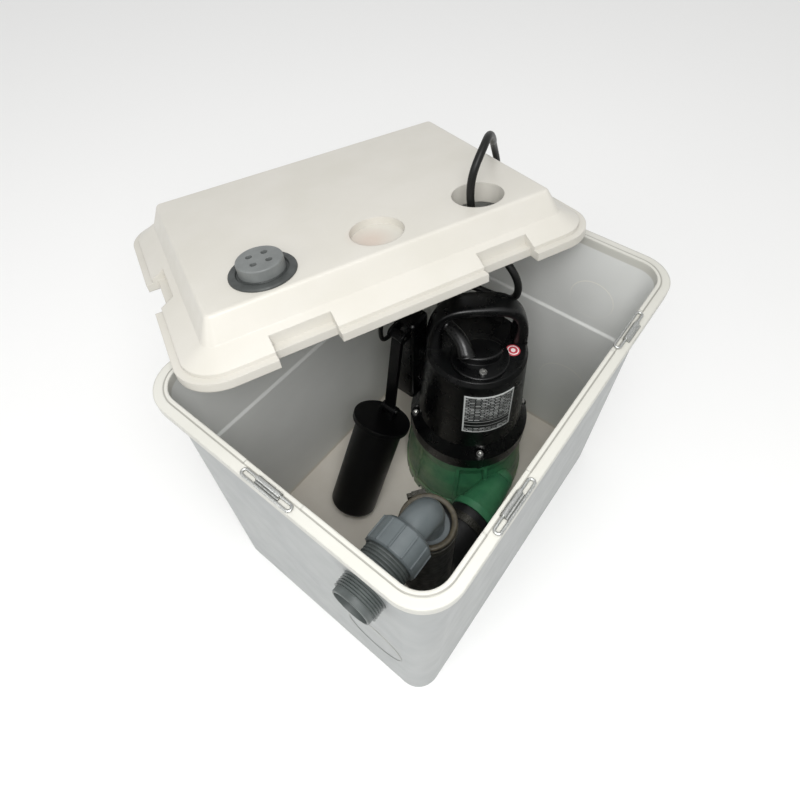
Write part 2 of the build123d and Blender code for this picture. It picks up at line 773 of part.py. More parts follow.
with BuildPart() as motor_housing:
    add(housing_body)
    with BuildSketch(Plane.XY.offset(volute_top)):
        with Locations((pump_x, pump_y)):
            with PolarLocations(case_screw_circle / 2, 4, start_angle=case_screw_angle):
                Circle(6.5)
    extrude(amount=screw_seat - volute_top)
    with BuildSketch(Plane(origin=handle_centre + Vector(0, 0, housing_top - lug_height), x_dir=right_side)):
        with Locations((handle_half, 0), (-handle_half, 0)):
            RectangleRounded(lug_size, handle_depth, 3)
    extrude(amount=lug_height)
    add(housing_core, mode=Mode.SUBTRACT)
    with BuildSketch(Plane.XY.offset(screw_seat)):
        with Locations((pump_x, pump_y)):
            with PolarLocations(case_screw_circle / 2, 4, start_angle=case_screw_angle):
                Circle(6.0)
    extrude(amount=housing_neck_z - screw_seat, mode=Mode.SUBTRACT)
    with BuildSketch(Plane.XY.offset(volute_top)):
        with Locations((pump_x, pump_y)):
            with PolarLocations(case_screw_circle / 2, 4, start_angle=case_screw_angle):
                Circle(2.3)
        with Locations((pump_x, pump_y)):
            Circle(seal_plate_radius + 2.2)
            Circle(seal_plate_radius - 0.4, mode=Mode.SUBTRACT)
    extrude(amount=3, mode=Mode.SUBTRACT)
    with BuildSketch(Plane.XY.offset(volute_top)):
        with Locations((pump_x, pump_y)):
            with PolarLocations(case_screw_circle / 2, 4, start_angle=case_screw_angle):
                Circle(2.3)
    extrude(amount=screw_seat - volute_top, mode=Mode.SUBTRACT)
    with BuildSketch(Plane(origin=handle_centre + Vector(0, 0, housing_top - lug_height), x_dir=right_side)):
        with Locations((handle_half - 1, 0), (-handle_half + 1, 0)):
            Circle(2.05)
    extrude(amount=lug_height, mode=Mode.SUBTRACT)
save(motor_housing.part, "motor_housing")

housing_ring = turned([
    (seal_plate_radius + 0.3, volute_top), (seal_plate_radius + 2, volute_top),
    (seal_plate_radius + 2, volute_top + 2.9), (seal_plate_radius + 0.3, volute_top + 2.9),
])
save(housing_ring, "housing_seal")

with BuildPart() as housing_screws:
    with BuildSketch(Plane.XY.offset(screw_seat)):
        with Locations((pump_x, pump_y)):
            with PolarLocations(case_screw_circle / 2, 4, start_angle=case_screw_angle):
                Circle(4.2)
    extrude(amount=3.6)
    with BuildSketch(Plane.XY.offset(screw_seat)):
        with Locations((pump_x, pump_y)):
            with PolarLocations(case_screw_circle / 2, 4, start_angle=case_screw_angle):
                Circle(2.0)
    extrude(amount=volute_top - 8 - screw_seat)
    with BuildSketch(Plane.XY.offset(screw_seat + 1.6)):
        with Locations((pump_x, pump_y)):
            with PolarLocations(case_screw_circle / 2, 4, start_angle=case_screw_angle):
                RegularPolygon(2.3, 6)
    extrude(amount=2, mode=Mode.SUBTRACT)
save(housing_screws.part, "housing_screws")

# Motor: stator pressed in the housing, rotor and impeller on one shaft
stator = turned([
    (rotor_diameter / 2 + air_gap, stator_base), (stator_diameter / 2, stator_base),
    (stator_diameter / 2, stator_top), (rotor_diameter / 2 + air_gap, stator_top),
])
save(stator, "stator")
upper_bearing = turned([
    (shaft_radius + running_gap, upper_bearing_base), (bearing_radius, upper_bearing_base),
    (bearing_radius, upper_bearing_base + bearing_width), (shaft_radius + running_gap, upper_bearing_base + bearing_width),
])
save(upper_bearing, "upper_bearing")
shaft_end = impeller_base - 2
motor_shaft = turned([
    (0, shaft_end), (shaft_radius, shaft_end), (shaft_radius, rotor_base), (rotor_diameter / 2, rotor_base),
    (rotor_diameter / 2, rotor_base + rotor_height), (shaft_radius, rotor_base + rotor_height),
    (shaft_radius, upper_bearing_base + bearing_width), (0, upper_bearing_base + bearing_width),
])
save(motor_shaft, "motor_shaft")

with BuildPart() as impeller:
    with BuildSketch(Plane.XY.offset(impeller_base + vane_height)):
        with Locations((pump_x, pump_y)):
            Circle(impeller_diameter / 2)
    extrude(amount=impeller_plate)
    with BuildSketch(Plane.XY.offset(impeller_base)):
        with BuildLine(mode=Mode.PRIVATE) as vane:
            ThreePointArc((shaft_radius + 5, 0), (26, 12), (impeller_diameter / 2 - 4, 6))
        with Locations((pump_x, pump_y)):
            with PolarLocations(0, vane_count):
                SlotArc(vane.edges()[0], height=3)
    extrude(amount=vane_height)
    with BuildSketch(Plane.XY.offset(impeller_base)):
        with Locations((pump_x, pump_y)):
            Circle(shaft_radius + 6)
    extrude(amount=vane_height)
    with BuildSketch(Plane.XY.offset(impeller_base - 1)):
        with Locations((pump_x, pump_y)):
            Circle(shaft_radius + running_gap)
    extrude(amount=vane_height + 2 * impeller_plate, mode=Mode.SUBTRACT)
save(impeller.part, "impeller")

# Carry handle: a rounded bar bent over the housing, its legs standing on the lugs
leg_lean = 4.0
with BuildPart() as carry_handle:
    with BuildLine(handle_plane):
        bar = FilletPolyline(
            (-handle_half, housing_top - 10), (-handle_half + leg_lean, handle_top - handle_thickness / 2),
            (handle_half - leg_lean, handle_top - handle_thickness / 2), (handle_half, housing_top - 10),
            radius=handle_shoulder,
        )
    with BuildSketch(Plane(origin=bar @ 0, x_dir=front, z_dir=bar % 0)):
        RectangleRounded(handle_depth, handle_thickness, 3)
    sweep()
    with BuildSketch(Plane.XY.offset(housing_top)):
        with Locations((pump_x, pump_y)):
            Circle(2 * handle_half)
    extrude(amount=-2 * lug_height, mode=Mode.SUBTRACT)
    with BuildSketch(Plane(origin=handle_centre + Vector(0, 0, housing_top), x_dir=right_side)):
        with Locations((handle_half - 1, 0), (-handle_half + 1, 0)):
            Circle(2.05)
    extrude(amount=10, mode=Mode.SUBTRACT)
save(carry_handle.part, "carry_handle")

with BuildPart() as handle_studs:
    with BuildSketch(Plane(origin=handle_centre + Vector(0, 0, housing_top - lug_height), x_dir=right_side)):
        with Locations((handle_half - 1, 0), (-handle_half + 1, 0)):
            Circle(2.0)
    extrude(amount=lug_height + 9)
save(handle_studs.part, "handle_studs")

# Rating plate on the bell and a round sticker on top
def bell_radius(height):
    """Radius of the bell's straight cone at a height."""
    share = (height - housing_neck_z) / (housing_top - housing_edge - housing_neck_z)
    return housing_neck_radius + (housing_shoulder_radius - housing_neck_radius) * share


plate_low, plate_high = 173.0, 235.0
plate_width, plate_thick = 46.0, 0.9
plate_arc = degrees(plate_width / bell_radius((plate_low + plate_high) / 2))
plate_turn = direction(pump_front + 2 - plate_arc / 2)
plate_plane = Plane(origin=pump_centre, x_dir=plate_turn, z_dir=plate_turn.cross(Vector(0, 0, 1)))
rating_plate = turned([
    (bell_radius(plate_low) + 0.3, plate_low), (bell_radius(plate_low) + plate_thick, plate_low),
    (bell_radius(plate_high) + plate_thick, plate_high), (bell_radius(plate_high) + 0.3, plate_high),
], plane=plate_plane, arc=plate_arc)
save(rating_plate, "rating_plate")

with BuildPart() as round_sticker:
    with BuildSketch(Plane.XY.offset(housing_top)):
        with Locations((pump_x + 18.5, pump_y - 35.5)):
            Circle(6.0)
    extrude(amount=0.4)
save(round_sticker.part, "round_sticker")

# Cable entry: round cap, oval raised plug on it, screw, and a boot that leads the cord out
entry = pump_centre + front * entry_offset
cap_top = housing_top + entry_rise
plug_top = cap_top + plug_rise
screw_spot = entry + front * (entry_radius - 8.5)
with BuildPart() as entry_cap:
    with BuildSketch(Plane(origin=entry + Vector(0, 0, housing_top))):
        Circle(entry_radius)
    extrude(amount=entry_rise)
    fillet(entry_cap.edges().filter_by(GeomType.CIRCLE).sort_by(Axis.Z)[-1], 1.5)
    with BuildSketch(Plane(origin=entry + Vector(0, 0, cap_top), x_dir=right_side)):
        with Locations((0, 2)):
            Ellipse(plug_length / 2, plug_width / 2)
    extrude(amount=plug_rise)
    fillet(entry_cap.faces().sort_by(Axis.Z)[-1].edges(), 2.5)
    with BuildSketch(Plane(origin=screw_spot + Vector(0, 0, housing_top))):
        Circle(2.05)
    extrude(amount=2 * entry_rise, mode=Mode.SUBTRACT)
boot_length = 39.0
boot_tip = Vector(59.5, 12.6, 280.0)
boot_axis = Vector(25.0, 30.4, 10.5).normalized()
boot_base = boot_tip - boot_axis * boot_length
with BuildPart() as cable_boot:
    with BuildSketch(Plane(origin=boot_base, z_dir=boot_axis)):
        Circle(cord_diameter)
    with BuildSketch(Plane(origin=boot_tip, z_dir=boot_axis)):
        Circle(cord_diameter / 2 + 1.2)
    loft()
    with Locations(boot_base):
        Sphere(cord_diameter)
    with BuildSketch(Plane(origin=entry + Vector(0, 0, plug_top))):
        Circle(2 * entry_radius)
    extrude(amount=-plug_length, mode=Mode.SUBTRACT)
save(entry_cap.part, "entry_cap")
save(cable_boot.part, "cable_boot")
with BuildPart() as entry_screw:
    with BuildSketch(Plane(origin=screw_spot + Vector(0, 0, cap_top))):
        Circle(4.0)
    extrude(amount=2.6)
    with BuildSketch(Plane(origin=screw_spot + Vector(0, 0, cap_top))):
        Circle(2.0)
    extrude(amount=-entry_rise)
    with BuildSketch(Plane(origin=screw_spot + Vector(0, 0, cap_top + 1.4))):
        Rectangle(4.6, 1.0)
        Rectangle(1.0, 4.6)
    extrude(amount=2, mode=Mode.SUBTRACT)
save(entry_screw.part, "entry_screw")

# Discharge line: bulkhead fitting in the end wall, union, elbow, hose and clamps
low_of_flange = wall_half(outlet_z - bulkhead_flange_radius) - wall
seal_x = 2 * running_gap - low_of_flange
flange_x = seal_x + seal_thickness
boss_x = flange_x + bulkhead_flange
boss_end = boss_x + union_reach
outlet_axis = Axis((0, pipe_y, outlet_z), (1, 0, 0))
outlet_plane = Plane(origin=(0, pipe_y, outlet_z), x_dir=(1, 0, 0), z_dir=(0, -1, 0))
stub_end = outlet_wall_x - outlet_stub
thread_pitch = 2.309
thread_depth = 1.1
coarse_pitch = 3.0
coarse_depth = 1.3
thread_turns = 5
coarse_turns = 7
outlet_seal = turned([
    (seal_x, outlet_thread_radius + running_gap), (seal_x, bulkhead_flange_radius),
    (flange_x, bulkhead_flange_radius), (flange_x, outlet_thread_radius + running_gap),
], plane=outlet_plane, axis=outlet_axis)
save(outlet_seal, "outlet_seal")

thread_start = stub_end + outlet_lip_length
bulkhead_outline = [
    (stub_end, outlet_bore), (stub_end, outlet_lip_radius - 0.6), (stub_end + 0.6, outlet_lip_radius),
    (thread_start, outlet_lip_radius),
]
for turn in range(thread_turns):
    ridge = thread_start + turn * thread_pitch
    bulkhead_outline += [
        (ridge, outlet_thread_radius), (ridge + thread_pitch / 2, outlet_thread_radius - thread_depth),
        (ridge + thread_pitch - 0.2, outlet_thread_radius),
    ]
bulkhead_outline += [(flange_x, outlet_thread_radius), (flange_x, bulkhead_flange_radius)]
bulkhead_outline += [(boss_x - 1, bulkhead_flange_radius), (boss_x, bulkhead_flange_radius - 1), (boss_x, union_thread_radius)]
for turn in range(coarse_turns):
    ridge = boss_x + 1.5 + turn * coarse_pitch
    bulkhead_outline += [
        (ridge, union_thread_radius), (ridge + coarse_pitch / 2, union_thread_radius - coarse_depth),
        (ridge + coarse_pitch - 0.8, union_thread_radius),
    ]
bulkhead_outline += [(boss_end, union_thread_radius), (boss_end, outlet_bore)]
save(turned(bulkhead_outline, plane=outlet_plane, axis=outlet_axis), "bulkhead")

collar_x = boss_end + seal_thickness
collar_end = collar_x + 6
nut_end = collar_end + running_gap + 8
nut_start = nut_end - union_nut_length
union_seal = turned([
    (boss_end, outlet_bore), (boss_end, union_thread_radius - 0.5), (collar_x, union_thread_radius - 0.5),
    (collar_x, outlet_bore),
], plane=outlet_plane, axis=outlet_axis)
save(union_seal, "union_seal")
nut_body = turned([
    (nut_start, union_thread_radius + running_gap), (nut_start, union_nut_radius - 1.5),
    (nut_start + 1.5, union_nut_radius), (nut_end - 3, union_nut_radius), (nut_end, union_nut_radius - 3),
    (nut_end, elbow_pipe_radius + 0.3), (collar_end + running_gap, elbow_pipe_radius + 0.3),
    (collar_end + running_gap, union_thread_radius + running_gap),
], plane=outlet_plane, axis=outlet_axis)
with BuildPart() as union_nut:
    add(nut_body)
    with BuildSketch(Plane.YZ.offset(nut_start + 1.5)):
        with Locations((pipe_y, outlet_z)):
            with PolarLocations(union_nut_radius, nut_ribs):
                RectangleRounded(nut_rib_rise * 2, nut_rib_width, nut_rib_width / 3)
    extrude(amount=union_nut_length - 5)
    fillet(union_nut.faces().sort_by(Axis.X)[-1].edges().sort_by(SortBy.RADIUS)[-1], 0.6)
save(union_nut.part, "union_nut")

riser_x = nut_end + riser_reach
elbow_drop = hose_mouth_z - hose_mouth_depth - 1
elbow_bore = elbow_pipe_radius - 3.5
spigot_radius = hose_bore - running_gap
with BuildPart() as outlet_elbow:
    with BuildLine(Plane(origin=(0, pipe_y, 0), x_dir=(1, 0, 0), z_dir=(0, -1, 0))):
        elbow_line = FilletPolyline(
            (collar_x, outlet_z), (riser_x, outlet_z), (riser_x, elbow_drop), radius=elbow_bend
        )
    with BuildSketch(Plane(origin=elbow_line @ 0, z_dir=elbow_line % 0)):
        Circle(elbow_pipe_radius)
    sweep()
    with BuildSketch(Plane.YZ.offset(collar_x)):
        with Locations((pipe_y, outlet_z)):
            Circle(union_thread_radius - 0.5)
    extrude(amount=collar_end - collar_x)
    with BuildSketch(Plane.XY.offset(spigot_bottom)):
        with Locations((riser_x, pipe_y)):
            Circle(spigot_radius)
    extrude(amount=elbow_drop - spigot_bottom)
elbow_hollow = tube(elbow_line, elbow_bore)
with BuildPart() as outlet_elbow_open:
    add(outlet_elbow.part)
    add(elbow_hollow, mode=Mode.SUBTRACT)
    with BuildSketch(Plane.XY.offset(spigot_bottom)):
        with Locations((riser_x, pipe_y)):
            Circle(elbow_bore)
    extrude(amount=elbow_drop - spigot_bottom + 1, mode=Mode.SUBTRACT)
save(outlet_elbow_open.part, "outlet_elbow")

with BuildLine(Plane(origin=(0, pipe_y, 0), x_dir=(1, 0, 0), z_dir=(0, -1, 0))) as hose_line:
    FilletPolyline((riser_x, hose_mouth_z), (riser_x, nozzle_z), (nozzle_lip_x, nozzle_z), radius=hose_bend)
hose_path = hose_line.wires()[0]
hose_solid = tube(hose_path, hose_radius)
hose_hollow = tube(hose_path, hose_bore)
with BuildPart() as riser_hose:
    add(hose_solid)
    add(hose_hollow, mode=Mode.SUBTRACT)
    with BuildSketch(Plane.XY.offset(hose_mouth_z)):
        with Locations((riser_x, pipe_y)):
            Circle(hose_mouth_bore)
    extrude(amount=-hose_mouth_depth, mode=Mode.SUBTRACT)
save(riser_hose.part, "riser_hose")

# Worm clamps: band with a housing block each, and the two screws
upper_clamp_z = hose_mouth_z - upper_clamp_drop
lower_clamp_x = nozzle_lip_x - lower_clamp_step
clamp_planes = {
    "upper_clamp": Plane(origin=(riser_x, pipe_y, upper_clamp_z), x_dir=(0.6, 0.8, 0), z_dir=(0, 0, 1)),
    "lower_clamp": Plane(origin=(lower_clamp_x, pipe_y, nozzle_z), x_dir=(0, 0.6, -0.8), z_dir=(1, 0, 0)),
}
block_radius = hose_radius + clamp_sheet + 3.5
screw_radius = 2.4
block_long = 13.0
for name, plane in clamp_planes.items():
    with BuildPart() as clamp:
        with BuildSketch(plane.offset(-clamp_band / 2)):
            Circle(hose_radius + running_gap + clamp_sheet)
            with Locations((block_radius - 1.5, 0)):
                RectangleRounded(8, block_long, 1)
            Circle(hose_radius + running_gap, mode=Mode.SUBTRACT)
        extrude(amount=clamp_band)
        with BuildSketch(Plane(origin=plane.from_local_coords(Vector(block_radius, 0, 0)), z_dir=plane.y_dir)):
            Circle(screw_radius + running_gap)
        extrude(amount=block_long, both=True, mode=Mode.SUBTRACT)
    save(clamp.part, name)
with BuildPart() as clamp_screws:
    for plane in clamp_planes.values():
        screw_plane = Plane(origin=plane.from_local_coords(Vector(block_radius, 0, 0)), z_dir=plane.y_dir)
        with BuildSketch(screw_plane.offset(-block_long / 2 - 1)):
            Circle(screw_radius)
        extrude(amount=block_long + 1)
        with BuildSketch(screw_plane.offset(block_long / 2)):
            RegularPolygon(3.6, 6)
        extrude(amount=4)
save(clamp_screws.part, "clamp_screws")

# Check valve low in the riser: a seat ring with two ears, a pin, and a flap that lifts with the flow
seat_z = nozzle_z + hose_bend + 18
seat_top = seat_z + valve_seat_length
hinge_x = riser_x - flap_radius + 0.5
hinge_z = seat_top + flap_pin
flap_disc = flap_radius - 1.8
ear_far = 8.5
ear_near = 6.0
ear_clear = 3.8
knuckle = 2.2
with BuildPart() as valve_seat:
    with BuildSketch(Plane.XY.offset(seat_z)):
        with Locations((riser_x, pipe_y)):
            Circle(spigot_radius)
            Circle(12, mode=Mode.SUBTRACT)
    extrude(amount=valve_seat_length)
    for side in (1, -1):
        with BuildSketch(Plane.XY.offset(seat_top)):
            with Locations((hinge_x - 0.05, pipe_y + side * (ear_near + ear_far) / 2)):
                Rectangle(3.3, ear_far - ear_near)
        extrude(amount=2 * flap_pin)
    with BuildSketch(Plane(origin=(hinge_x, pipe_y, hinge_z), z_dir=(0, 1, 0))):
        Circle(flap_pin / 2 + running_gap / 2)
    extrude(amount=2 * ear_far, both=True, mode=Mode.SUBTRACT)
save(valve_seat.part, "valve_seat")
with BuildPart() as valve_pin:
    with BuildSketch(Plane(origin=(hinge_x, pipe_y, hinge_z), z_dir=(0, 1, 0))):
        Circle(flap_pin / 2)
    extrude(amount=ear_far, both=True)
save(valve_pin.part, "valve_pin")
with BuildPart() as valve_flap:
    with BuildSketch(Plane.XY.offset(seat_top + running_gap)):
        with Locations((riser_x, pipe_y)):
            Circle(flap_disc)
    extrude(amount=flap_thickness)
    for side in (1, -1):
        with BuildSketch(Plane.XY.offset(seat_top)):
            with Locations((hinge_x, pipe_y + side * (ear_near + ear_far) / 2)):
                Rectangle(2 * ear_clear, ear_far - ear_near + 1)
        extrude(amount=2 * flap_thickness, mode=Mode.SUBTRACT)
    with BuildSketch(Plane(origin=(hinge_x, pipe_y, hinge_z), z_dir=(0, 1, 0))):
        Circle(knuckle)
    extrude(amount=ear_near - 0.4, both=True)
    with BuildSketch(Plane(origin=(hinge_x, pipe_y, hinge_z), z_dir=(0, 1, 0))):
        Circle(flap_pin / 2 + running_gap)
    extrude(amount=ear_near, both=True, mode=Mode.SUBTRACT)
save(valve_flap.part, "valve_flap")

# Float switch: box saddled on the bell, fork, arm, and a capped float that lies against the floor
saddle = turned([(0, volute_top)] + [(r + 0.05 if r else r, z) for r, z in bell] + [(0, housing_top)])
cheek_gap = arm_width / 2 + 0.3
cheek = 3.0
with BuildPart() as switch_housing:
    with BuildSketch(Plane.XY.offset(switch_bottom)):
        with Locations((switch_x, switch_y)):
            RectangleRounded(switch_width, switch_depth, 4)
    extrude(amount=switch_top - switch_bottom)
    chamfer(switch_housing.faces().sort_by(Axis.Z)[-1].edges(), 2)
    with BuildSketch(Plane.XY.offset(switch_bottom + 12)):
        with Locations((switch_x + 6, switch_y - switch_depth / 2 - 4)):
            Rectangle(switch_width - 12, 14)
    extrude(amount=70)
    add(saddle, mode=Mode.SUBTRACT)
    for side in (1, -1):
        with BuildSketch(Plane(origin=(0, float_y + side * cheek_gap, 0), x_dir=(1, 0, 0), z_dir=(0, -1, 0))):
            with Locations((arm_top_x, arm_top_z)):
                Circle(7)
            with Locations(((arm_top_x + switch_x) / 2 - 5, arm_top_z)):
                Rectangle(switch_x - 10 - arm_top_x, 14)
        extrude(amount=-side * cheek)
    with BuildSketch(Plane(origin=(arm_top_x, float_y, arm_top_z), z_dir=(0, 1, 0))):
        Circle(pin_diameter / 2 + running_gap / 2)
    extrude(amount=cheek_gap + cheek + 1, both=True, mode=Mode.SUBTRACT)
save(switch_housing.part, "switch_housing")
with BuildPart() as arm_pin:
    with BuildSketch(Plane(origin=(arm_top_x, float_y, arm_top_z), z_dir=(0, 1, 0))):
        Circle(pin_diameter / 2)
    extrude(amount=cheek_gap + cheek, both=True)
save(arm_pin.part, "arm_pin")

arm_run = Vector(arm_low_x - arm_top_x, 0, arm_low_z - arm_top_z)
arm_plane = Plane(origin=(arm_top_x, float_y - arm_width / 2, arm_top_z), x_dir=arm_run, z_dir=(0, -1, 0))
with BuildPart() as float_arm:
    with BuildSketch(arm_plane):
        Circle(6)
        with Locations((arm_run.length, 0)):
            Circle(6)
        with Locations((arm_run.length / 2, 0)):
            Rectangle(arm_run.length, arm_thickness)
        Circle(pin_diameter / 2 + running_gap, mode=Mode.SUBTRACT)
        with Locations((arm_run.length, 0)):
            Circle(pin_diameter / 2 + running_gap, mode=Mode.SUBTRACT)
    extrude(amount=-arm_width)
save(float_arm.part, "float_arm")

float_up = Vector(sin(radians(float_tilt)), 0, cos(radians(float_tilt)))
float_right = Vector(cos(radians(float_tilt)), 0, -sin(radians(float_tilt)))
float_top = Vector(arm_low_x, float_y, arm_low_z) - float_up * pin_above_float - float_right * pin_off_axis
float_plane = Plane(origin=float_top, x_dir=float_right, z_dir=float_up)
with BuildPart() as float_body:
    with BuildSketch(float_plane):
        Circle(float_radius)
    extrude(amount=-float_length)
    fillet(float_body.faces().sort_by(Axis(float_top, float_up))[0].edges(), 7)
    with BuildSketch(float_plane):
        Circle(collar_radius)
    extrude(amount=-collar_height)
    for side in (1, -1):
        ear_start = float_top + Vector(0, side * cheek_gap, 0)
        with BuildSketch(Plane(origin=ear_start, x_dir=float_right, z_dir=(0, -1, 0))):
            with Locations((pin_off_axis, pin_above_float)):
                Circle(6)
            with Locations((pin_off_axis, pin_above_float / 2 - 1)):
                Rectangle(12, pin_above_float + 2)
        extrude(amount=-side * cheek)
    with BuildSketch(Plane(origin=(arm_low_x, float_y, arm_low_z), z_dir=(0, 1, 0))):
        Circle(pin_diameter / 2 + running_gap / 2)
    extrude(amount=cheek_gap + cheek + 1, both=True, mode=Mode.SUBTRACT)
save(float_body.part, "float_body")
with BuildPart() as float_pin:
    with BuildSketch(Plane(origin=(arm_low_x, float_y, arm_low_z), z_dir=(0, 1, 0))):
        Circle(pin_diameter / 2)
    extrude(amount=cheek_gap + cheek + 0.5, both=True)
save(float_pin.part, "float_pin")

# Cords: the switch's lead, the mains cord inside and outside the lid, its coil and its plug
lead_points = [
    (switch_x - switch_width / 2, switch_y + 11, 250), (18, switch_y + 11, 250), (8, 69, 262), (6, 66, 292),
    (14, 64, 312), (25, 63, 331), (49, 61, 329), (switch_x + 8, switch_y, 306), (switch_x + 8, switch_y, switch_top),
]
lead_path, lead_radii = cord_path(lead_points)
switch_lead = tube(lead_path, lead_diameter / 2)
save(switch_lead, "switch_lead")
print("switch lead radii", [round(radius, 1) for radius in lead_radii], "length", round(lead_path.length))

arch_foot, arch_next = Vector(115, 36, 368), Vector(118, 41.5, 405)
join = arch_foot + (arch_next - arch_foot) * 0.75
inner_points = [
    tuple(boot_tip), tuple(boot_tip + boot_axis * 42), (120, 40, 276), (130, 6, 268), (118, -27, 290), (113, -29, 325), (113, 2, 350),
    tuple(arch_foot), tuple(join),
]
inner_path, inner_radii = cord_path(inner_points)
cord_inner = tube(inner_path, cord_diameter / 2)
save(cord_inner, "cord_inner")
print("inner cord radii", [round(radius, 1) for radius in inner_radii], "length", round(inner_path.length))

coil_radius = 44.0
coil_x, coil_y = 134.0, 224.0
coil_pitch = 8.7
coil_start = 46.0
coil_turns = 6
coil_low = 4.6
coil_sweep = coil_turns * 360 + 90 - coil_start
coil_high = coil_low + coil_pitch * coil_sweep / 360


def coil_place(turn):
    """Place and heading on the coil after some degrees of winding."""
    angle = radians(coil_start + turn)
    drop = -coil_pitch / (2 * pi)
    spot = Vector(coil_x + coil_radius * cos(angle), coil_y + coil_radius * sin(angle), coil_high - coil_pitch * turn / 360)
    heading = Vector(-coil_radius * sin(angle), coil_radius * cos(angle), drop).normalized()
    return spot, heading


coil_top, coil_heading = coil_place(0)
lead_in = coil_top - coil_heading * 32
outer_points = [
    tuple(join), tuple(arch_next), (122, 41, 423), (137, 42.5, 436), (156, 49, 437), (176, 57, 424), (207, 71, 396),
    (264, 104, 360), (281, 98, 309), (286, 114, 262), (277, 144, 215), (256, 172, 168), (230, 194, 122), (206, 212, 82),
    tuple(lead_in), tuple(coil_top),
]
outer_path, outer_radii = cord_path(outer_points)
cord_outer = tube(outer_path, cord_diameter / 2)
save(cord_outer, "cord_outer")
print("outer cord radii", [round(radius, 1) for radius in outer_radii], "length", round(outer_path.length))

step = 60
stops = [min(step * count, coil_sweep) for count in range(int(coil_sweep // step) + 2)]
with BuildPart() as cord_coil:
    with BuildLine() as winding:
        for begin, end in zip(stops, stops[1:]):
            if end - begin < 1:
                continue
            first, first_way = coil_place(begin)
            last, last_way = coil_place(end)
            chord = last - first
            both_ways = first_way + last_way
            spread = 2 * (1 - first_way.dot(last_way))
            reach = (sqrt(chord.dot(both_ways) ** 2 + spread * chord.dot(chord)) - chord.dot(both_ways)) / spread
            middle = (first + first_way * reach + last - last_way * reach) * 0.5
            middle_way = (last - last_way * reach - first - first_way * reach).normalized()
            TangentArc(first, middle, tangent=first_way)
            TangentArc(middle, last, tangent=middle_way)
        coil_end, end_way = coil_place(coil_sweep)
        tail = coil_end + end_way * 22
        Line(coil_end, tail)
        rise = tail + Vector(-34, 0, 9)
        TangentArc(tail, rise, tangent=end_way)
    with BuildSketch(Plane(origin=coil_top, z_dir=coil_heading)):
        Circle(cord_diameter / 2)
    sweep()
save(cord_coil.part, "cord_coil")
coil_wire = winding.wires()[0]
swept = coil_wire.length * pi * cord_diameter ** 2 / 4
print("coil length", round(coil_wire.length), "volume share", round(cord_coil.part.volume / swept, 3))
print("coil self gap", round(coil_pitch * cos(coil_pitch / (2 * pi * coil_radius)) - cord_diameter, 2))

plug_way = coil_wire % 1
plug_start = coil_wire @ 1
plug_body, plug_neck, pin_length = 19.0, 26.0, 19.0
with BuildPart() as mains_plug:
    with BuildSketch(Plane(origin=plug_start, z_dir=plug_way)):
        Circle(cord_diameter / 2 + 1.5)
    with BuildSketch(Plane(origin=plug_start + Vector(-plug_neck, 0, 7), z_dir=(-1, 0, 0))):
        Circle(9)
    loft()
    with BuildSketch(Plane(origin=plug_start + Vector(-plug_neck, 0, 7), z_dir=(-1, 0, 0))):
        Circle(plug_body)
    extrude(amount=26)
    fillet(mains_plug.edges().filter_by(GeomType.CIRCLE).group_by(SortBy.RADIUS)[-1], 2)
    with BuildSketch(Plane(origin=plug_start + Vector(-plug_neck - 26, 0, 7), z_dir=(-1, 0, 0))):
        with Locations((9.5, 0), (-9.5, 0)):
            Circle(2.4)
    extrude(amount=pin_length)
save(mains_plug.part, "mains_plug")
print("plug lowest", round(mains_plug.part.bounding_box().min.Z, 2))
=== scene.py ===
"""Waste water pump station dressed for the picture: camera, studio, cords, rubber pieces and finishes."""
import math

import bpy
import numpy as np
from mathutils import Matrix, Vector


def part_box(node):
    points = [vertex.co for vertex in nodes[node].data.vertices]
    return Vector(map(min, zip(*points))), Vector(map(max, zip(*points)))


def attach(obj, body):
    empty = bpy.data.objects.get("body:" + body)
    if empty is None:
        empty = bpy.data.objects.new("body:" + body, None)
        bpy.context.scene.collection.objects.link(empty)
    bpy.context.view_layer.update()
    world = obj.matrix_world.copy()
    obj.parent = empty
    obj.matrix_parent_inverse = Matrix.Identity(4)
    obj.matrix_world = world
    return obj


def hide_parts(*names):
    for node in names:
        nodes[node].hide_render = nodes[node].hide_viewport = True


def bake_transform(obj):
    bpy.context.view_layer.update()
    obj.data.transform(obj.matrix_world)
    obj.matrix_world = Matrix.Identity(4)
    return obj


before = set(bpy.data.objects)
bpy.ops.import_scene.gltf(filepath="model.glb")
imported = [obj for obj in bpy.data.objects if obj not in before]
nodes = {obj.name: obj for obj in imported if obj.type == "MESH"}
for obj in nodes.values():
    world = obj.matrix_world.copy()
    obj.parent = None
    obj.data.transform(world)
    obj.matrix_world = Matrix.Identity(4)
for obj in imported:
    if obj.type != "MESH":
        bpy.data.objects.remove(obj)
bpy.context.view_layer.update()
scene = bpy.context.scene
MM = 0.001

# Places and sizes of the part in millimetres, as the part's own source has them
pump_spot = np.array((71.0, -13.0, 0.0))
pump_front = math.radians(-139.0)
housing_top = 252.0
bell_foot, bell_head = (62.0, 142.0), (55.0, 247.0)
handle_half, handle_rise, handle_back = 46.0, 51.0, 8.0
pipe_y, outlet_z, riser_x, mouth_z = -83.4, 263.0, -112.84, 236.0
nozzle_lip_x, nozzle_z = -22.0, 71.0
hose_radius, hose_bore, mouth_bore, mouth_depth, hose_bend = 26.5, 20.3, 21.3, 9.0, 48.0
lid_origin = np.array((60.0, 152.3, 324.699))
lid_yaw, lid_pitch, lid_roll = (math.radians(angle) for angle in (-23.7, -0.47, -10.85))
crown_height, port_spacing, port_row, dimple_depth = 46.8, 111.0, -84.0, 8.0
lid_length, lid_width, lid_radius, seal_top = 420.0, 316.0, 42.0, 5.7
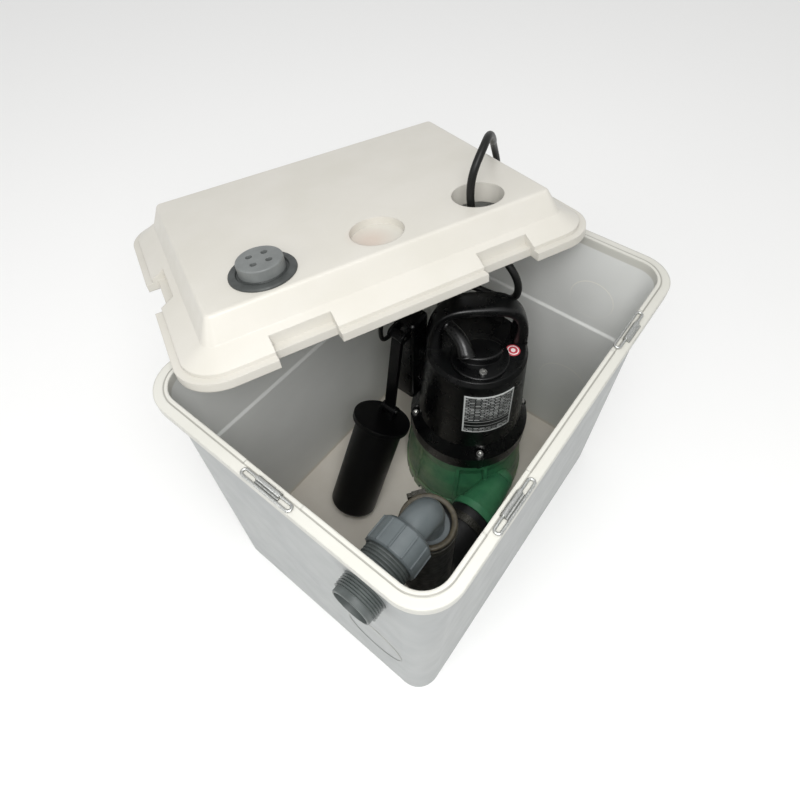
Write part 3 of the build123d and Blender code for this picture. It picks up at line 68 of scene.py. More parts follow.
# The tank's corners are turned about this place, and its inner wall and the rim's groove lie so far out of it
corner_spot, inner_reach, groove_reach, rim_foot = (168.6, 116.6), 26.0, 29.0, 330.5
# Knock-out marks on the end walls, drawn as rings of painted highlight: place across, height and radius
high_mark_at, low_mark_at, mark_half_width = (-83.0, 264.0, 25.4), (-83.0, 108.0, 33.4), 0.7


def linear(code):
    """Linear colour with alpha from an sRGB hex code."""
    parts = [int(code[i:i + 2], 16) / 255 for i in (1, 3, 5)]
    return tuple(c / 12.92 if c <= 0.04045 else ((c + 0.055) / 1.055) ** 2.4 for c in parts) + (1.0,)


def add(tree, kind, inputs=None, **settings):
    """Adds a node to a tree, with its settings, its input values and the sockets linked into it."""
    made = tree.nodes.new(kind)
    for name, value in settings.items():
        setattr(made, name, value)
    for name, value in (inputs or {}).items():
        if isinstance(value, bpy.types.NodeSocket):
            tree.links.new(value, made.inputs[name])
        else:
            made.inputs[name].default_value = value
    return made


def start(name):
    """New material with its tree, its shader and the object coordinates."""
    made = bpy.data.materials.new(name)
    made.use_nodes = True
    tree = made.node_tree
    return made, tree, tree.nodes["Principled BSDF"], add(tree, "ShaderNodeTexCoord").outputs["Object"]


def surfaced(tree, shader, place, rough, swing, patch_mm, grain_mm, grain_rise, edge_mm):
    """Uneven polish in patches, and a fine grain raised over softened edges, all in millimetres."""
    polish = add(tree, "ShaderNodeTexNoise", {"Vector": place, "Scale": 1000 / patch_mm, "Detail": 2.0})
    spread = add(tree, "ShaderNodeMapRange", {
        "Value": polish.outputs["Fac"], "From Min": 0.3, "From Max": 0.7, "To Min": rough - swing,
        "To Max": rough + swing})
    grain = add(tree, "ShaderNodeTexNoise", {"Vector": place, "Scale": 1000 / grain_mm, "Detail": 2.0})
    edge = add(tree, "ShaderNodeBevel", {"Radius": edge_mm * MM}, samples=4)
    raised = add(tree, "ShaderNodeBump", {
        "Height": grain.outputs["Fac"], "Distance": grain_rise * MM, "Normal": edge.outputs["Normal"]})
    tree.links.new(spread.outputs["Result"], shader.inputs["Roughness"])
    tree.links.new(raised.outputs["Normal"], shader.inputs["Normal"])


def moulded(name, pale, deep, rough, grain_mm, grain_rise, drift_mm, edge_mm, ior=1.5, swing=0.06):
    """Moulded plastic or rubber: two close colours that drift, uneven polish, a grain and softened edges."""
    made, tree, shader, place = start(name)
    cloud = add(tree, "ShaderNodeTexNoise", {"Vector": place, "Scale": 1000 / drift_mm, "Detail": 3.0})
    share = add(tree, "ShaderNodeMapRange", {"Value": cloud.outputs["Fac"], "From Min": 0.35,
        "From Max": 0.65})
    tint = add(tree, "ShaderNodeMix", {"Factor": share.outputs["Result"], 6: linear(deep), 7: linear(pale)},
        data_type="RGBA")
    tree.links.new(tint.outputs[2], shader.inputs["Base Color"])
    surfaced(tree, shader, place, rough, swing, drift_mm / 3, grain_mm, grain_rise, edge_mm)
    shader.inputs["IOR"].default_value = ior
    return made


def worked_metal(name, pale, deep, rough, along, streak_mm):
    """Drawn, rolled or turned metal: streaks stretched along the piece over a slightly uneven polish."""
    made, tree, shader, place = start(name)
    stretched = add(tree, "ShaderNodeMapping", {"Vector": place, "Scale": along})
    streak = add(tree, "ShaderNodeTexNoise", {"Vector": stretched.outputs["Vector"],
        "Scale": 1000 / streak_mm, "Detail": 4.0})
    share = add(tree, "ShaderNodeMapRange", {"Value": streak.outputs["Fac"], "From Min": 0.35,
        "From Max": 0.65})
    tint = add(tree, "ShaderNodeMix", {"Factor": share.outputs["Result"], 6: linear(deep), 7: linear(pale)},
        data_type="RGBA")
    tree.links.new(tint.outputs[2], shader.inputs["Base Color"])
    surfaced(tree, shader, place, rough, 0.08, 3.0, streak_mm, 0.01, 0.3)
    shader.inputs["Metallic"].default_value = 1.0
    return made


def rotomoulded_tank():
    """Pale grey polyethylene: satin walls painted lighter inside and darker outside as light and shade, a rim
    painted lighter as lit from above with painted shade along its groove, and a warm film below.

    The inner wall and the rim's groove are found by how far a point lies outside the corners' middles, as the
    length of what |x| and |y| have over them. Pale rings are painted as highlight where the moulded knock-out
    rings catch the light, found by distance from their centres, and fade towards their lower side.
    """
    made, tree, shader, place = start("polyethylene, rotationally moulded, pale grey")
    along = add(tree, "ShaderNodeSeparateXYZ", {"Vector": place})
    cloud = add(tree, "ShaderNodeTexNoise", {"Vector": place, "Scale": 1000 / 90, "Detail": 3.0})
    share = add(tree, "ShaderNodeMapRange", {"Value": cloud.outputs["Fac"], "From Min": 0.35,
        "From Max": 0.65})
    # Painted light and shade: one plastic in a darker copy for the outside walls and a lighter copy for the
    # inside
    outside = add(tree, "ShaderNodeMix", {
        "Factor": share.outputs["Result"], 6: linear("#9A9D9D"), 7: linear("#9FA2A1")}, data_type="RGBA")
    inside = add(tree, "ShaderNodeMix", {
        "Factor": share.outputs["Result"], 6: linear("#D9DAD7"), 7: linear("#DFE0DD")}, data_type="RGBA")
    stain = add(tree, "ShaderNodeTexNoise", {"Vector": place, "Scale": 1000 / 35, "Detail": 4.0})
    film = add(tree, "ShaderNodeMix", {
        "Factor": stain.outputs["Fac"], 6: linear("#D3CCBF"), 7: linear("#E4DFD6")}, data_type="RGBA")
    low = add(tree, "ShaderNodeMapRange", {
        "Value": along.outputs["Z"], "From Min": 0.0045, "From Max": 0.012, "To Min": 1.0, "To Max": 0.0})
    lit_inside_and_film = add(tree, "ShaderNodeMix", {
        "Factor": low.outputs["Result"], 6: inside.outputs[2], 7: film.outputs[2]}, data_type="RGBA")
    size = add(tree, "ShaderNodeVectorMath", {0: place}, operation="ABSOLUTE")
    over = add(tree, "ShaderNodeVectorMath", {0: size.outputs[0],
        1: (corner_spot[0] * MM, corner_spot[1] * MM, 1.0)}, operation="SUBTRACT")
    out = add(tree, "ShaderNodeVectorMath", {0: over.outputs[0], 1: (0.0, 0.0, 0.0)}, operation="MAXIMUM")
    reach = add(tree, "ShaderNodeVectorMath", {0: out.outputs[0]}, operation="LENGTH")
    within = add(tree, "ShaderNodeMath", {0: reach.outputs["Value"], 1: inner_reach * MM},
        operation="LESS_THAN")
    # Points on the inner wall take the lighter painted-light copy with the film's stain, the rest the darker
    # painted-shade copy
    body = add(tree, "ShaderNodeMix", {
        "Factor": within.outputs[0], 6: outside.outputs[2], 7: lit_inside_and_film.outputs[2]}, data_type="RGBA")
    flat = add(tree, "ShaderNodeVectorMath", {0: place, 1: (0.0, 1.0, 1.0)}, operation="MULTIPLY")
    side = add(tree, "ShaderNodeMath", {0: along.outputs["X"], 1: 0.0}, operation="GREATER_THAN")
    high_far = add(tree, "ShaderNodeVectorMath",
        {0: flat.outputs[0], 1: (0.0, high_mark_at[0] * MM, high_mark_at[1] * MM)}, operation="DISTANCE")
    high_ring = add(tree, "ShaderNodeMath", {0: high_far.outputs["Value"], 1: high_mark_at[2] * MM,
        2: mark_half_width * MM}, operation="COMPARE")
    high_fade = add(tree, "ShaderNodeMapRange", {
        "Value": along.outputs["Z"], "From Min": 0.255, "From Max": 0.285, "To Min": 0.08, "To Max": 0.5})
    high_side = add(tree, "ShaderNodeMath", {0: high_ring.outputs[0], 1: side.outputs[0]},
        operation="MULTIPLY")
    high_ring_highlight = add(tree, "ShaderNodeMath", {0: high_side.outputs[0], 1: high_fade.outputs["Result"]},
        operation="MULTIPLY")
    low_far = add(tree, "ShaderNodeVectorMath",
        {0: flat.outputs[0], 1: (0.0, low_mark_at[0] * MM, low_mark_at[1] * MM)}, operation="DISTANCE")
    low_ring = add(tree, "ShaderNodeMath", {0: low_far.outputs["Value"], 1: low_mark_at[2] * MM,
        2: mark_half_width * MM}, operation="COMPARE")
    low_fade = add(tree, "ShaderNodeMapRange", {
        "Value": along.outputs["Z"], "From Min": 0.105, "From Max": 0.14, "To Min": 0.08, "To Max": 0.4})
    low_ring_highlight = add(tree, "ShaderNodeMath", {0: low_ring.outputs[0], 1: low_fade.outputs["Result"]},
        operation="MULTIPLY")
    faint = add(tree, "ShaderNodeMath", {0: high_ring_highlight.outputs[0], 1: low_ring_highlight.outputs[0]},
        operation="MAXIMUM")
    # Painted highlight: pale rings where the moulded knock-out rings catch the light, stronger on their upper
    # side
    with_ring_highlights = add(tree, "ShaderNodeMix", {
        "Factor": faint.outputs[0], 6: body.outputs[2], 7: linear("#F4F1E6")}, data_type="RGBA")
    # Painted light: the rim's top is coloured lighter than the walls of the same plastic, as lit from above
    lit_rim_tone = add(tree, "ShaderNodeMix", {
        "Factor": share.outputs["Result"], 6: linear("#C0BFB7"), 7: linear("#C6C5BE")}, data_type="RGBA")
    # Painted shade: a darker line along the groove at the foot of the rim's bead, where the step lies in
    # shade
    groove = add(tree, "ShaderNodeMath", {0: reach.outputs["Value"], 1: groove_reach * MM, 2: 0.0006},
        operation="COMPARE")
    groove_shade = add(tree, "ShaderNodeMath", {0: groove.outputs[0], 1: 0.7}, operation="MULTIPLY")
    rim = add(tree, "ShaderNodeMix", {
        "Factor": groove_shade.outputs[0], 6: lit_rim_tone.outputs[2], 7: linear("#85837B")}, data_type="RGBA")
    # Above the rim's foot the painted lighter rim tone takes over
    top = add(tree, "ShaderNodeMapRange", {"Value": along.outputs["Z"], "From Min": rim_foot * MM,
        "From Max": (rim_foot + 1.5) * MM})
    whole = add(tree, "ShaderNodeMix", {
        "Factor": top.outputs["Result"], 6: with_ring_highlights.outputs[2], 7: rim.outputs[2]}, data_type="RGBA")
    tree.links.new(whole.outputs[2], shader.inputs["Base Color"])
    surfaced(tree, shader, place, 0.42, 0.05, 25.0, 0.9, 0.02, 2.4)
    shader.inputs["IOR"].default_value = 1.5
    return made


def lid_finish():
    """Warm off-white polypropylene: slow mottling, soft edges, and a rusty tint left in the blind recess."""
    made, tree, shader, place = start("polypropylene, injection moulded, warm off-white")
    cloud = add(tree, "ShaderNodeTexNoise", {"Vector": place, "Scale": 1000 / 60, "Detail": 4.0})
    share = add(tree, "ShaderNodeMapRange", {"Value": cloud.outputs["Fac"], "From Min": 0.35,
        "From Max": 0.65})
    tint = add(tree, "ShaderNodeMix", {
        "Factor": share.outputs["Result"], 6: linear("#C6C3BA"), 7: linear("#CAC7BF")}, data_type="RGBA")
    bottom = tuple(lid_at(-8.0, port_row, crown_height - dimple_depth) * MM)
    away = add(tree, "ShaderNodeVectorMath", {0: place, 1: bottom}, operation="DISTANCE")
    rust = add(tree, "ShaderNodeMapRange", {
        "Value": away.outputs["Value"], "From Min": 0.006, "From Max": 0.026, "To Min": 0.3, "To Max": 0.0})
    stained = add(tree, "ShaderNodeMix", {
        "Factor": rust.outputs["Result"], 6: tint.outputs[2], 7: linear("#B9917A")}, data_type="RGBA")
    tree.links.new(stained.outputs[2], shader.inputs["Base Color"])
    surfaced(tree, shader, place, 0.36, 0.05, 20.0, 1.1, 0.02, 1.4)
    shader.inputs["IOR"].default_value = 1.49
    return made


def printed_plate():
    """Black foil printed with a pale frame, rules and blank bars, on the plate's own map in millimetres."""
    made, tree, shader, place = start("aluminium foil, printed black, ruled and blank")
    chart = add(tree, "ShaderNodeUVMap", uv_map="millimetres").outputs["UV"]
    bars = add(tree, "ShaderNodeTexBrick", {
        "Vector": chart, "Color1": linear("#C9CCCA"), "Color2": linear("#0C0C0E"),
        "Mortar": linear("#0A0A0C"), "Scale": 1.0, "Mortar Size": 0.62, "Bias": -0.2, "Brick Width": 5.2,
        "Row Height": 2.5}, offset=0.37, squash=1.3)
    at = add(tree, "ShaderNodeSeparateXYZ", {"Vector": chart})
    sway = add(tree, "ShaderNodeMath", {0: at.outputs["X"], 1: 0.0}, operation="ABSOLUTE")
    rise = add(tree, "ShaderNodeMath", {0: at.outputs["Y"], 1: 0.0}, operation="ABSOLUTE")
    wide = add(tree, "ShaderNodeMath", {0: sway.outputs[0], 1: 26.2}, operation="GREATER_THAN")
    tall = add(tree, "ShaderNodeMath", {0: rise.outputs[0], 1: 29.4}, operation="GREATER_THAN")
    edge = add(tree, "ShaderNodeMath", {0: wide.outputs[0], 1: tall.outputs[0]}, operation="MAXIMUM")
    lines = add(tree, "ShaderNodeMath", {0: at.outputs["Y"], 1: 3.1}, operation="PINGPONG")
    thin = add(tree, "ShaderNodeMath", {0: lines.outputs[0], 1: 0.32}, operation="LESS_THAN")
    under = add(tree, "ShaderNodeMath", {0: at.outputs["Y"], 1: -9.5}, operation="LESS_THAN")
    over = add(tree, "ShaderNodeMath", {0: at.outputs["Y"], 1: -22.0}, operation="GREATER_THAN")
    zone = add(tree, "ShaderNodeMath", {0: under.outputs[0], 1: over.outputs[0]}, operation="MULTIPLY")
    plain = add(tree, "ShaderNodeMix", {
        "Factor": zone.outputs[0], 6: bars.outputs["Color"], 7: linear("#0A0A0C")}, data_type="RGBA")
    ruled = add(tree, "ShaderNodeMath", {0: thin.outputs[0], 1: zone.outputs[0]}, operation="MULTIPLY")
    rule = add(tree, "ShaderNodeMath", {0: ruled.outputs[0], 1: edge.outputs[0]}, operation="MAXIMUM")
    whole = add(tree, "ShaderNodeMix", {
        "Factor": rule.outputs[0], 6: plain.outputs[2], 7: linear("#C9CCCA")}, data_type="RGBA")
    tree.links.new(whole.outputs[2], shader.inputs["Base Color"])
    surfaced(tree, shader, place, 0.34, 0.05, 8.0, 0.6, 0.006, 0.3)
    return made


def ringed_sticker(middle):
    """Red vinyl with a pale ring and a pale middle, by distance from its centre."""
    made, tree, shader, place = start("vinyl sticker, printed red, unlettered")
    away = add(tree, "ShaderNodeVectorMath", {0: place, 1: tuple(middle * MM)}, operation="DISTANCE")
    ring = add(tree, "ShaderNodeMath", {0: away.outputs["Value"], 1: 0.0056, 2: 0.0006}, operation="COMPARE")
    core = add(tree, "ShaderNodeMath", {0: away.outputs["Value"], 1: 0.0026}, operation="LESS_THAN")
    pale = add(tree, "ShaderNodeMath", {0: ring.outputs[0], 1: core.outputs[0]}, operation="MAXIMUM")
    whole = add(tree, "ShaderNodeMix", {
        "Factor": pale.outputs[0], 6: linear("#B23A46"), 7: linear("#E3D6D4")}, data_type="RGBA")
    tree.links.new(whole.outputs[2], shader.inputs["Base Color"])
    surfaced(tree, shader, place, 0.35, 0.05, 4.0, 0.5, 0.004, 0.2)
    return made


def pump_green():
    """Green glass-filled polyamide: dusty olive round the body, cleaner green towards the nozzle."""
    made, tree, shader, place = start("glass-filled polyamide, injection moulded, green")
    cloud = add(tree, "ShaderNodeTexNoise", {"Vector": place, "Scale": 1000 / 26, "Detail": 5.0,
        "Roughness": 0.6})
    dust = add(tree, "ShaderNodeMapRange", {"Value": cloud.outputs["Fac"], "From Min": 0.35,
        "From Max": 0.65})
    body = add(tree, "ShaderNodeMix", {
        "Factor": dust.outputs["Result"], 6: linear("#4A6B50"), 7: linear("#7A8A6A")}, data_type="RGBA")
    clean = add(tree, "ShaderNodeMix", {
        "Factor": dust.outputs["Result"], 6: linear("#357350"), 7: linear("#43855C")}, data_type="RGBA")
    away = add(tree, "ShaderNodeVectorMath", {0: place, 1: (0.0, pipe_y * MM, nozzle_z * MM)},
        operation="DISTANCE")
    near = add(tree, "ShaderNodeMapRange", {
        "Value": away.outputs["Value"], "From Min": 0.045, "From Max": 0.095, "To Min": 1.0, "To Max": 0.0})
    whole = add(tree, "ShaderNodeMix", {
        "Factor": near.outputs["Result"], 6: body.outputs[2], 7: clean.outputs[2]}, data_type="RGBA")
    tree.links.new(whole.outputs[2], shader.inputs["Base Color"])
    surfaced(tree, shader, place, 0.45, 0.08, 9.0, 0.9, 0.03, 1.0)
    return made


def hose_finish():
    """Black EPDM rubber, smooth and slightly greasy, with a lip rubbed to a dusty olive brown."""
    made, tree, shader, place = start("EPDM rubber hose, extruded, black")
    along = add(tree, "ShaderNodeSeparateXYZ", {"Vector": place})
    cloud = add(tree, "ShaderNodeTexNoise", {"Vector": place, "Scale": 1000 / 4, "Detail": 4.0})
    black = add(tree, "ShaderNodeMix", {
        "Factor": cloud.outputs["Fac"], 6: linear("#08080A"), 7: linear("#121214")}, data_type="RGBA")
    brown = add(tree, "ShaderNodeMix", {
        "Factor": cloud.outputs["Fac"], 6: linear("#24211A"), 7: linear("#5C5544")}, data_type="RGBA")
    lip = add(tree, "ShaderNodeMapRange", {
        "Value": along.outputs["Z"], "From Min": (mouth_z - 3.0) * MM, "From Max": (mouth_z - 0.6) * MM})
    whole = add(tree, "ShaderNodeMix", {
        "Factor": lip.outputs["Result"], 6: black.outputs[2], 7: brown.outputs[2]}, data_type="RGBA")
    tree.links.new(whole.outputs[2], shader.inputs["Base Color"])
    surfaced(tree, shader, place, 0.5, 0.1, 6.0, 0.7, 0.03, 0.6)
    return made


def lid_at(along, across, up):
    """Place of a point given along the lid's length, across it and above its skirt's edge.

    Origin + along times the length's direction + across times the width's + up times the normal.
    """
    spots = np.broadcast_arrays(along, across, up)
    return lid_origin + sum(np.asarray(spot, float)[..., None] * way for spot, way in zip(spots, lid_ways))


lid_long = np.array((math.cos(lid_yaw) * math.cos(lid_pitch), math.sin(lid_yaw) * math.cos(lid_pitch),
                     -math.sin(lid_pitch)))
lid_level = np.array((-math.sin(lid_yaw), math.cos(lid_yaw), 0.0))
lid_wide = lid_level * math.cos(lid_roll) + np.cross(lid_long, lid_level) * math.sin(lid_roll)
lid_ways = (lid_long, lid_wide, np.cross(lid_long, lid_wide))

# Rotationally moulded polyethylene: matt-satin, no sharp edge, gently wavy reflections
polyethylene = rotomoulded_tank()
# Injection-moulded polypropylene: smoother than the tank, so its slopes carry soft broad highlights
lid_plastic = lid_finish()
# Soft moulded rubber: dull, darker than the cap that sits in it. Grain here and below is drawn at half a
# millimetre or more, coarser than the real one, so that it shows
vent_rubber = moulded("EPDM rubber, moulded, dark grey", "#414443", "#333635", 0.55, 0.5, 0.02, 12.0, 0.6)
# Moulded polypropylene in mid grey with a fine eroded grain
vent_plastic = moulded("polypropylene, moulded, mid grey", "#707372", "#676A69", 0.42, 0.6, 0.015, 14.0, 0.9)
# Moulded pressure pipe: even blue-grey with a soft sheen
pvc = moulded("PVC-U, injection moulded, blue-grey", "#5F6668", "#575E60", 0.34, 0.7, 0.015, 18.0, 1.2)
# The threaded fitting is a darker and duller grey than the pipe in it
dark_pvc = moulded("polypropylene, moulded, dark grey", "#595E5D", "#4B504F", 0.42, 0.6, 0.02, 14.0, 0.35)
hose_rubber = hose_finish()
# Glass-filled shell from a polished mould: nearly black, with small highlights on its edges. Its fine grain
# is drawn at 1.2 mm, coarser than the real one, so that it shows
bell_plastic = moulded("glass-filled polypropylene, moulded, black", "#070808", "#040405", 0.3, 1.2, 0.003,
    30.0, 1.4, 1.38, 0.05)
# The float is blown from black plastic: plain, smooth and very dark
float_plastic = moulded("polypropylene, blow moulded, black", "#050506", "#030304", 0.38, 1.0, 0.002, 24.0,
    0.9, 1.33, 0.04)
green_plastic = pump_green()
inner_plastic = moulded("polyamide, moulded, black", "#202022", "#161618", 0.45, 0.9, 0.02, 14.0, 0.4)
seal_rubber = moulded("nitrile rubber, moulded, black", "#1E1E1F", "#141415", 0.65, 0.5, 0.02, 8.0, 0.3)
# Rubber sheath of the cords: dull black with a faint bloom
cord_rubber = moulded("neoprene cable sheath, extruded, black", "#0E0F0E", "#090909", 0.42, 0.6, 0.01, 9.0,
    0.2, 1.38)
# The boot is moulded from softer rubber than the sheath and has a slight shine
boot_rubber = moulded("nitrile rubber boot, moulded, black", "#0A0A0A", "#060606", 0.32, 0.5, 0.004, 7.0, 0.3,
    1.45)
# Zinc plate over drawn wire and pressed sheet: light grey, softly bright, finely scored
zinc_steel = worked_metal("steel wire and sheet, zinc plated", "#D2D3D0", "#A2A4A2", 0.36, (1.0, 1.0, 0.4),
    0.8)
# Rolled stainless band and screws: brighter than the zinc
stainless = worked_metal("stainless steel, rolled", "#C6C6C3", "#A0A09D", 0.3, (1.0, 1.0, 0.3), 0.6)
# The band low on the hose is old and dulled by the water
dull_steel = worked_metal("stainless steel, water stained", "#5C5B57", "#37362F", 0.5, (0.3, 1.0, 1.0), 0.8)
motor_steel = worked_metal("motor steel, turned", "#9A9A9C", "#7C7C80", 0.35, (1.0, 1.0, 1.0), 0.5)
foil = printed_plate()
sticker_spot = pump_spot + (16.6, -34.6, housing_top)
sticker = ringed_sticker(sticker_spot)

finishes = {
    polyethylene: ["tank"], lid_plastic: ["lid"], vent_rubber: ["vent_grommet"], vent_plastic: ["vent_cap"],
    pvc: ["union_nut", "outlet_elbow"], dark_pvc: ["bulkhead"], hose_rubber: ["riser_hose"],
    bell_plastic: ["motor_housing", "entry_cap", "carry_handle", "switch_housing"],
    float_plastic: ["float_arm", "float_body"], green_plastic: ["volute", "strainer"],
    inner_plastic: ["seal_plate", "impeller", "valve_seat", "valve_flap", "mains_plug"],
    seal_rubber: ["lid_seal", "outlet_seal", "union_seal", "housing_seal", "shaft_seal"],
    cord_rubber: ["cable_boot", "cord_inner", "cord_outer", "cord_coil", "switch_lead"],
    zinc_steel: [name for name in nodes if name.startswith("latch")],
    stainless: ["housing_screws", "entry_screw", "handle_studs", "arm_pin", "float_pin", "valve_pin"],
    dull_steel: ["lower_clamp", "upper_clamp", "clamp_screws"],
    motor_steel: ["stator", "motor_shaft", "upper_bearing", "lower_bearing"],
    foil: ["rating_plate"], sticker: ["round_sticker"],
}
for finish, names in finishes.items():
    for name in names:
        mesh = nodes[name].data
        mesh.materials.clear()
        mesh.materials.append(finish)


def surface(name, grid, finish, ring=False, chart=None, sharp=50.0):
    """Closed skin over a grid of points in millimetres, given as (along, around, xyz).

    Each row runs round and is joined to the next. The last row joins the first where ring is true, and
    otherwise both end rows are closed by a fan to their middles. Six times the volume is the sum, over the
    triangles, of one corner dotted with the cross product of the other two; where it is negative, the faces
    are turned over.
    """
    along, around = grid.shape[:2]
    rows = np.arange(along if ring else along - 1)[:, None]
    here, beside = np.arange(around), (np.arange(around) + 1) % around
    first, second = (rows * around + here).ravel(), (rows * around + beside).ravel()
    third = ((rows + 1) % along * around + beside).ravel()
    fourth = ((rows + 1) % along * around + here).ravel()
    spots = grid.reshape(-1, 3) * MM
    triangles = [np.stack([first, second, third], 1), np.stack([first, third, fourth], 1)]
    faces = np.stack([first, second, third, fourth], 1).tolist()
    if not ring:
        spots = np.vstack([spots, spots[:around].mean(0), spots[-around:].mean(0)])
        last = (along - 1) * around
        near = np.stack([beside, here, np.full(around, len(spots) - 2)], 1)
        far = np.stack([last + here, last + beside, np.full(around, len(spots) - 1)], 1)
        triangles += [near, far]
        faces += near.tolist() + far.tolist()
    corners = spots[np.vstack(triangles)]
    if (corners[:, 0] * np.cross(corners[:, 1], corners[:, 2])).sum() < 0:
        faces = [face[::-1] for face in faces]
    mesh = bpy.data.meshes.new(name)
    mesh.from_pydata(spots.tolist(), [], faces)
    mesh.shade_smooth()
    mesh.set_sharp_from_angle(angle=math.radians(sharp))
    if chart is not None:
        layer = mesh.uv_layers.new(name="millimetres")
        index = np.empty(len(mesh.loops), int)
        mesh.loops.foreach_get("vertex_index", index)
        layer.data.foreach_set("uv", chart[index].ravel())
    mesh.materials.append(finish)
    made = bpy.data.objects.new(name, mesh)
    scene.collection.objects.link(made)
    return made


def settle(piece, body, slot, *replaced):
    """Lets a piece ride on its body and stand for the nodes that it replaces, which it hides; the slot is not
    used.
    """
    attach(piece, body)
    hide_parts(*replaced)


def turned_grid(profile, middle, across, upward, count=72):
    """Profile of (radius, height) turned about an axis: middle + height times up + radius times the arm."""
    profile = np.asarray(profile, float)
    turn = np.linspace(0, 2 * math.pi, count, endpoint=False)
    side = np.cross(upward, across)
    arm = np.cos(turn)[:, None] * across + np.sin(turn)[:, None] * side
    return middle + profile[:, :1, None] * arm + profile[:, 1, None, None] * np.asarray(upward, float)


def hose_grid():
    """Wall of the riser hose carried down an upright run, round a quarter circle and along a level run.

    At a distance s from the mouth the middle line has its place and its direction; the ring there is the
    middle plus the radius times (cosine of the turn times the outward arm + sine times Y). The outer radius
    is drawn in by 0.35 mm under both clamps and swells by 0.5 mm beside the upper one, as bell curves of s.
    Both lips are quarter rounds.
    """
    upright = mouth_z - nozzle_z - hose_bend
    arc = hose_bend * math.pi / 2
    level = nozzle_lip_x - riser_x - hose_bend
    length = upright + arc + level
    lip = np.linspace(0, math.pi / 2, 6)
    outer_s = np.concatenate([1.6 - 1.6 * np.cos(lip), np.linspace(2.4, length - 2.4, 90),
        length - 1.6 + 1.6 * np.sin(lip)])
    rounding = np.concatenate([1.6 * np.sin(lip) - 1.6, np.zeros(90), 1.6 * np.cos(lip) - 1.6])
    pinch = (-0.35 * np.exp(-((outer_s - 11) / 4.5) ** 6)
             - 0.35 * np.exp(-((outer_s - length + 15) / 4.5) ** 6))
    swell = 0.5 * np.exp(-((outer_s - 3.0) / 2.0) ** 2) + 0.5 * np.exp(-((outer_s - 19.5) / 3.5) ** 2)
    inner_s = np.concatenate([np.linspace(length - 0.6, mouth_depth + 0.4, 60), [mouth_depth, 1.5, 0.5]])
    inner_r = np.concatenate([np.full(60, hose_bore), [mouth_bore, mouth_bore, mouth_bore + 0.7]])
    s = np.concatenate([outer_s, inner_s])
    radius = np.concatenate([hose_radius + rounding + pinch + swell, inner_r])
    bend = np.clip((s - upright) / hose_bend, 0, math.pi / 2)
    down = np.clip(s, 0, upright)
    forth = np.clip(s - upright - arc, 0, None)
    middle = np.stack([riser_x + hose_bend * (1 - np.cos(bend)) + forth, np.full(len(s), pipe_y),
                       mouth_z - down - hose_bend * np.sin(bend)], 1)
    arm = np.stack([np.cos(bend), np.zeros(len(s)), np.sin(bend)], 1)
    turn = np.linspace(0, 2 * math.pi, 72, endpoint=False)
    ring = (np.cos(turn)[None, :, None] * arm[:, None]
            + np.sin(turn)[None, :, None] * np.array((0.0, 1.0, 0.0)))
    return middle[:, None] + radius[:, None, None] * ring


def strip_grid(begin, run, inset, width, height, count=260):
    """Sealing strip under the lid: a rounded bar, width by height, along part of the skirt's inner outline.

    The outline is the lid's rounded rectangle, inset, walked counter-clockwise by its length from the middle
    of the right side: straight runs and quarter circles. The bar's section is a squarish oval.
    """
    half_long, half_wide, bend = lid_length / 2 - inset, lid_width / 2 - inset, lid_radius - inset
    quarter = np.linspace(0, math.pi / 2, 60)
    centres = ((half_long - bend, half_wide - bend, 0.0), (bend - half_long, half_wide - bend, math.pi / 2),
               (bend - half_long, bend - half_wide, math.pi),
               (half_long - bend, bend - half_wide, 1.5 * math.pi))
    corners = [np.stack([x + bend * np.cos(quarter + swing), y + bend * np.sin(quarter + swing)], 1)
               for x, y, swing in centres]
    outline = np.concatenate([[(half_long, 0.0)], *corners, [(half_long, 0.0)]])
    walked = np.concatenate([[0.0], np.cumsum(np.linalg.norm(np.diff(outline, axis=0), axis=1))])
    s = (begin + np.linspace(0.0, 1.0, count) * run) % walked[-1]
    line = np.stack([np.interp(s, walked, outline[:, 0]), np.interp(s, walked, outline[:, 1])], 1)
    way = np.gradient(line, axis=0)
    way /= np.linalg.norm(way, axis=1)[:, None]
    side = np.stack([way[:, 1], -way[:, 0]], 1)
    spin = np.linspace(0, 2 * math.pi, 20, endpoint=False)
    out = width / 2 * np.sign(np.cos(spin)) * np.abs(np.cos(spin)) ** 0.6
    up = height / 2 * np.sign(np.sin(spin)) * np.abs(np.sin(spin)) ** 0.6
    flat = line[:, None] + out[None, :, None] * side[:, None]
    return lid_at(flat[..., 0], flat[..., 1], seal_top - height / 2 + up[None, :])


def boot_grid(foot, knee, tip):
    """Cable boot: rings along the parabola through foot, knee and tip, (1-t)^2 foot + 2t(1-t) knee + t^2 tip.

    The radius falls from 9 to 6.6 mm as a smooth cone with a wider foot and a collar at the end.
    """
    t = np.linspace(0, 1, 70)[:, None]
    middle = (1 - t) ** 2 * foot + 2 * t * (1 - t) * knee + t ** 2 * tip
    way = (1 - t) * (knee - foot) + t * (tip - knee)
    way /= np.linalg.norm(way, axis=1)[:, None]
    flat = t[:, 0]
    radius = 9.0 - 2.4 * flat + 1.6 * np.exp(-(flat / 0.05) ** 2) + 1.1 / (1 + np.exp(-(flat - 0.9) / 0.008))
    radius -= 0.9 * np.exp(-((flat - 1) / 0.012) ** 2)
    level = np.cross(way, (0.0, 0.0, 1.0))
    level /= np.linalg.norm(level, axis=1)[:, None]
    lifted = np.cross(level, way)
    turn = np.linspace(0, 2 * math.pi, 40, endpoint=False)
    ring = np.cos(turn)[None, :, None] * level[:, None] + np.sin(turn)[None, :, None] * lifted[:, None]
    return middle[:, None] + radius[:, None, None] * ring


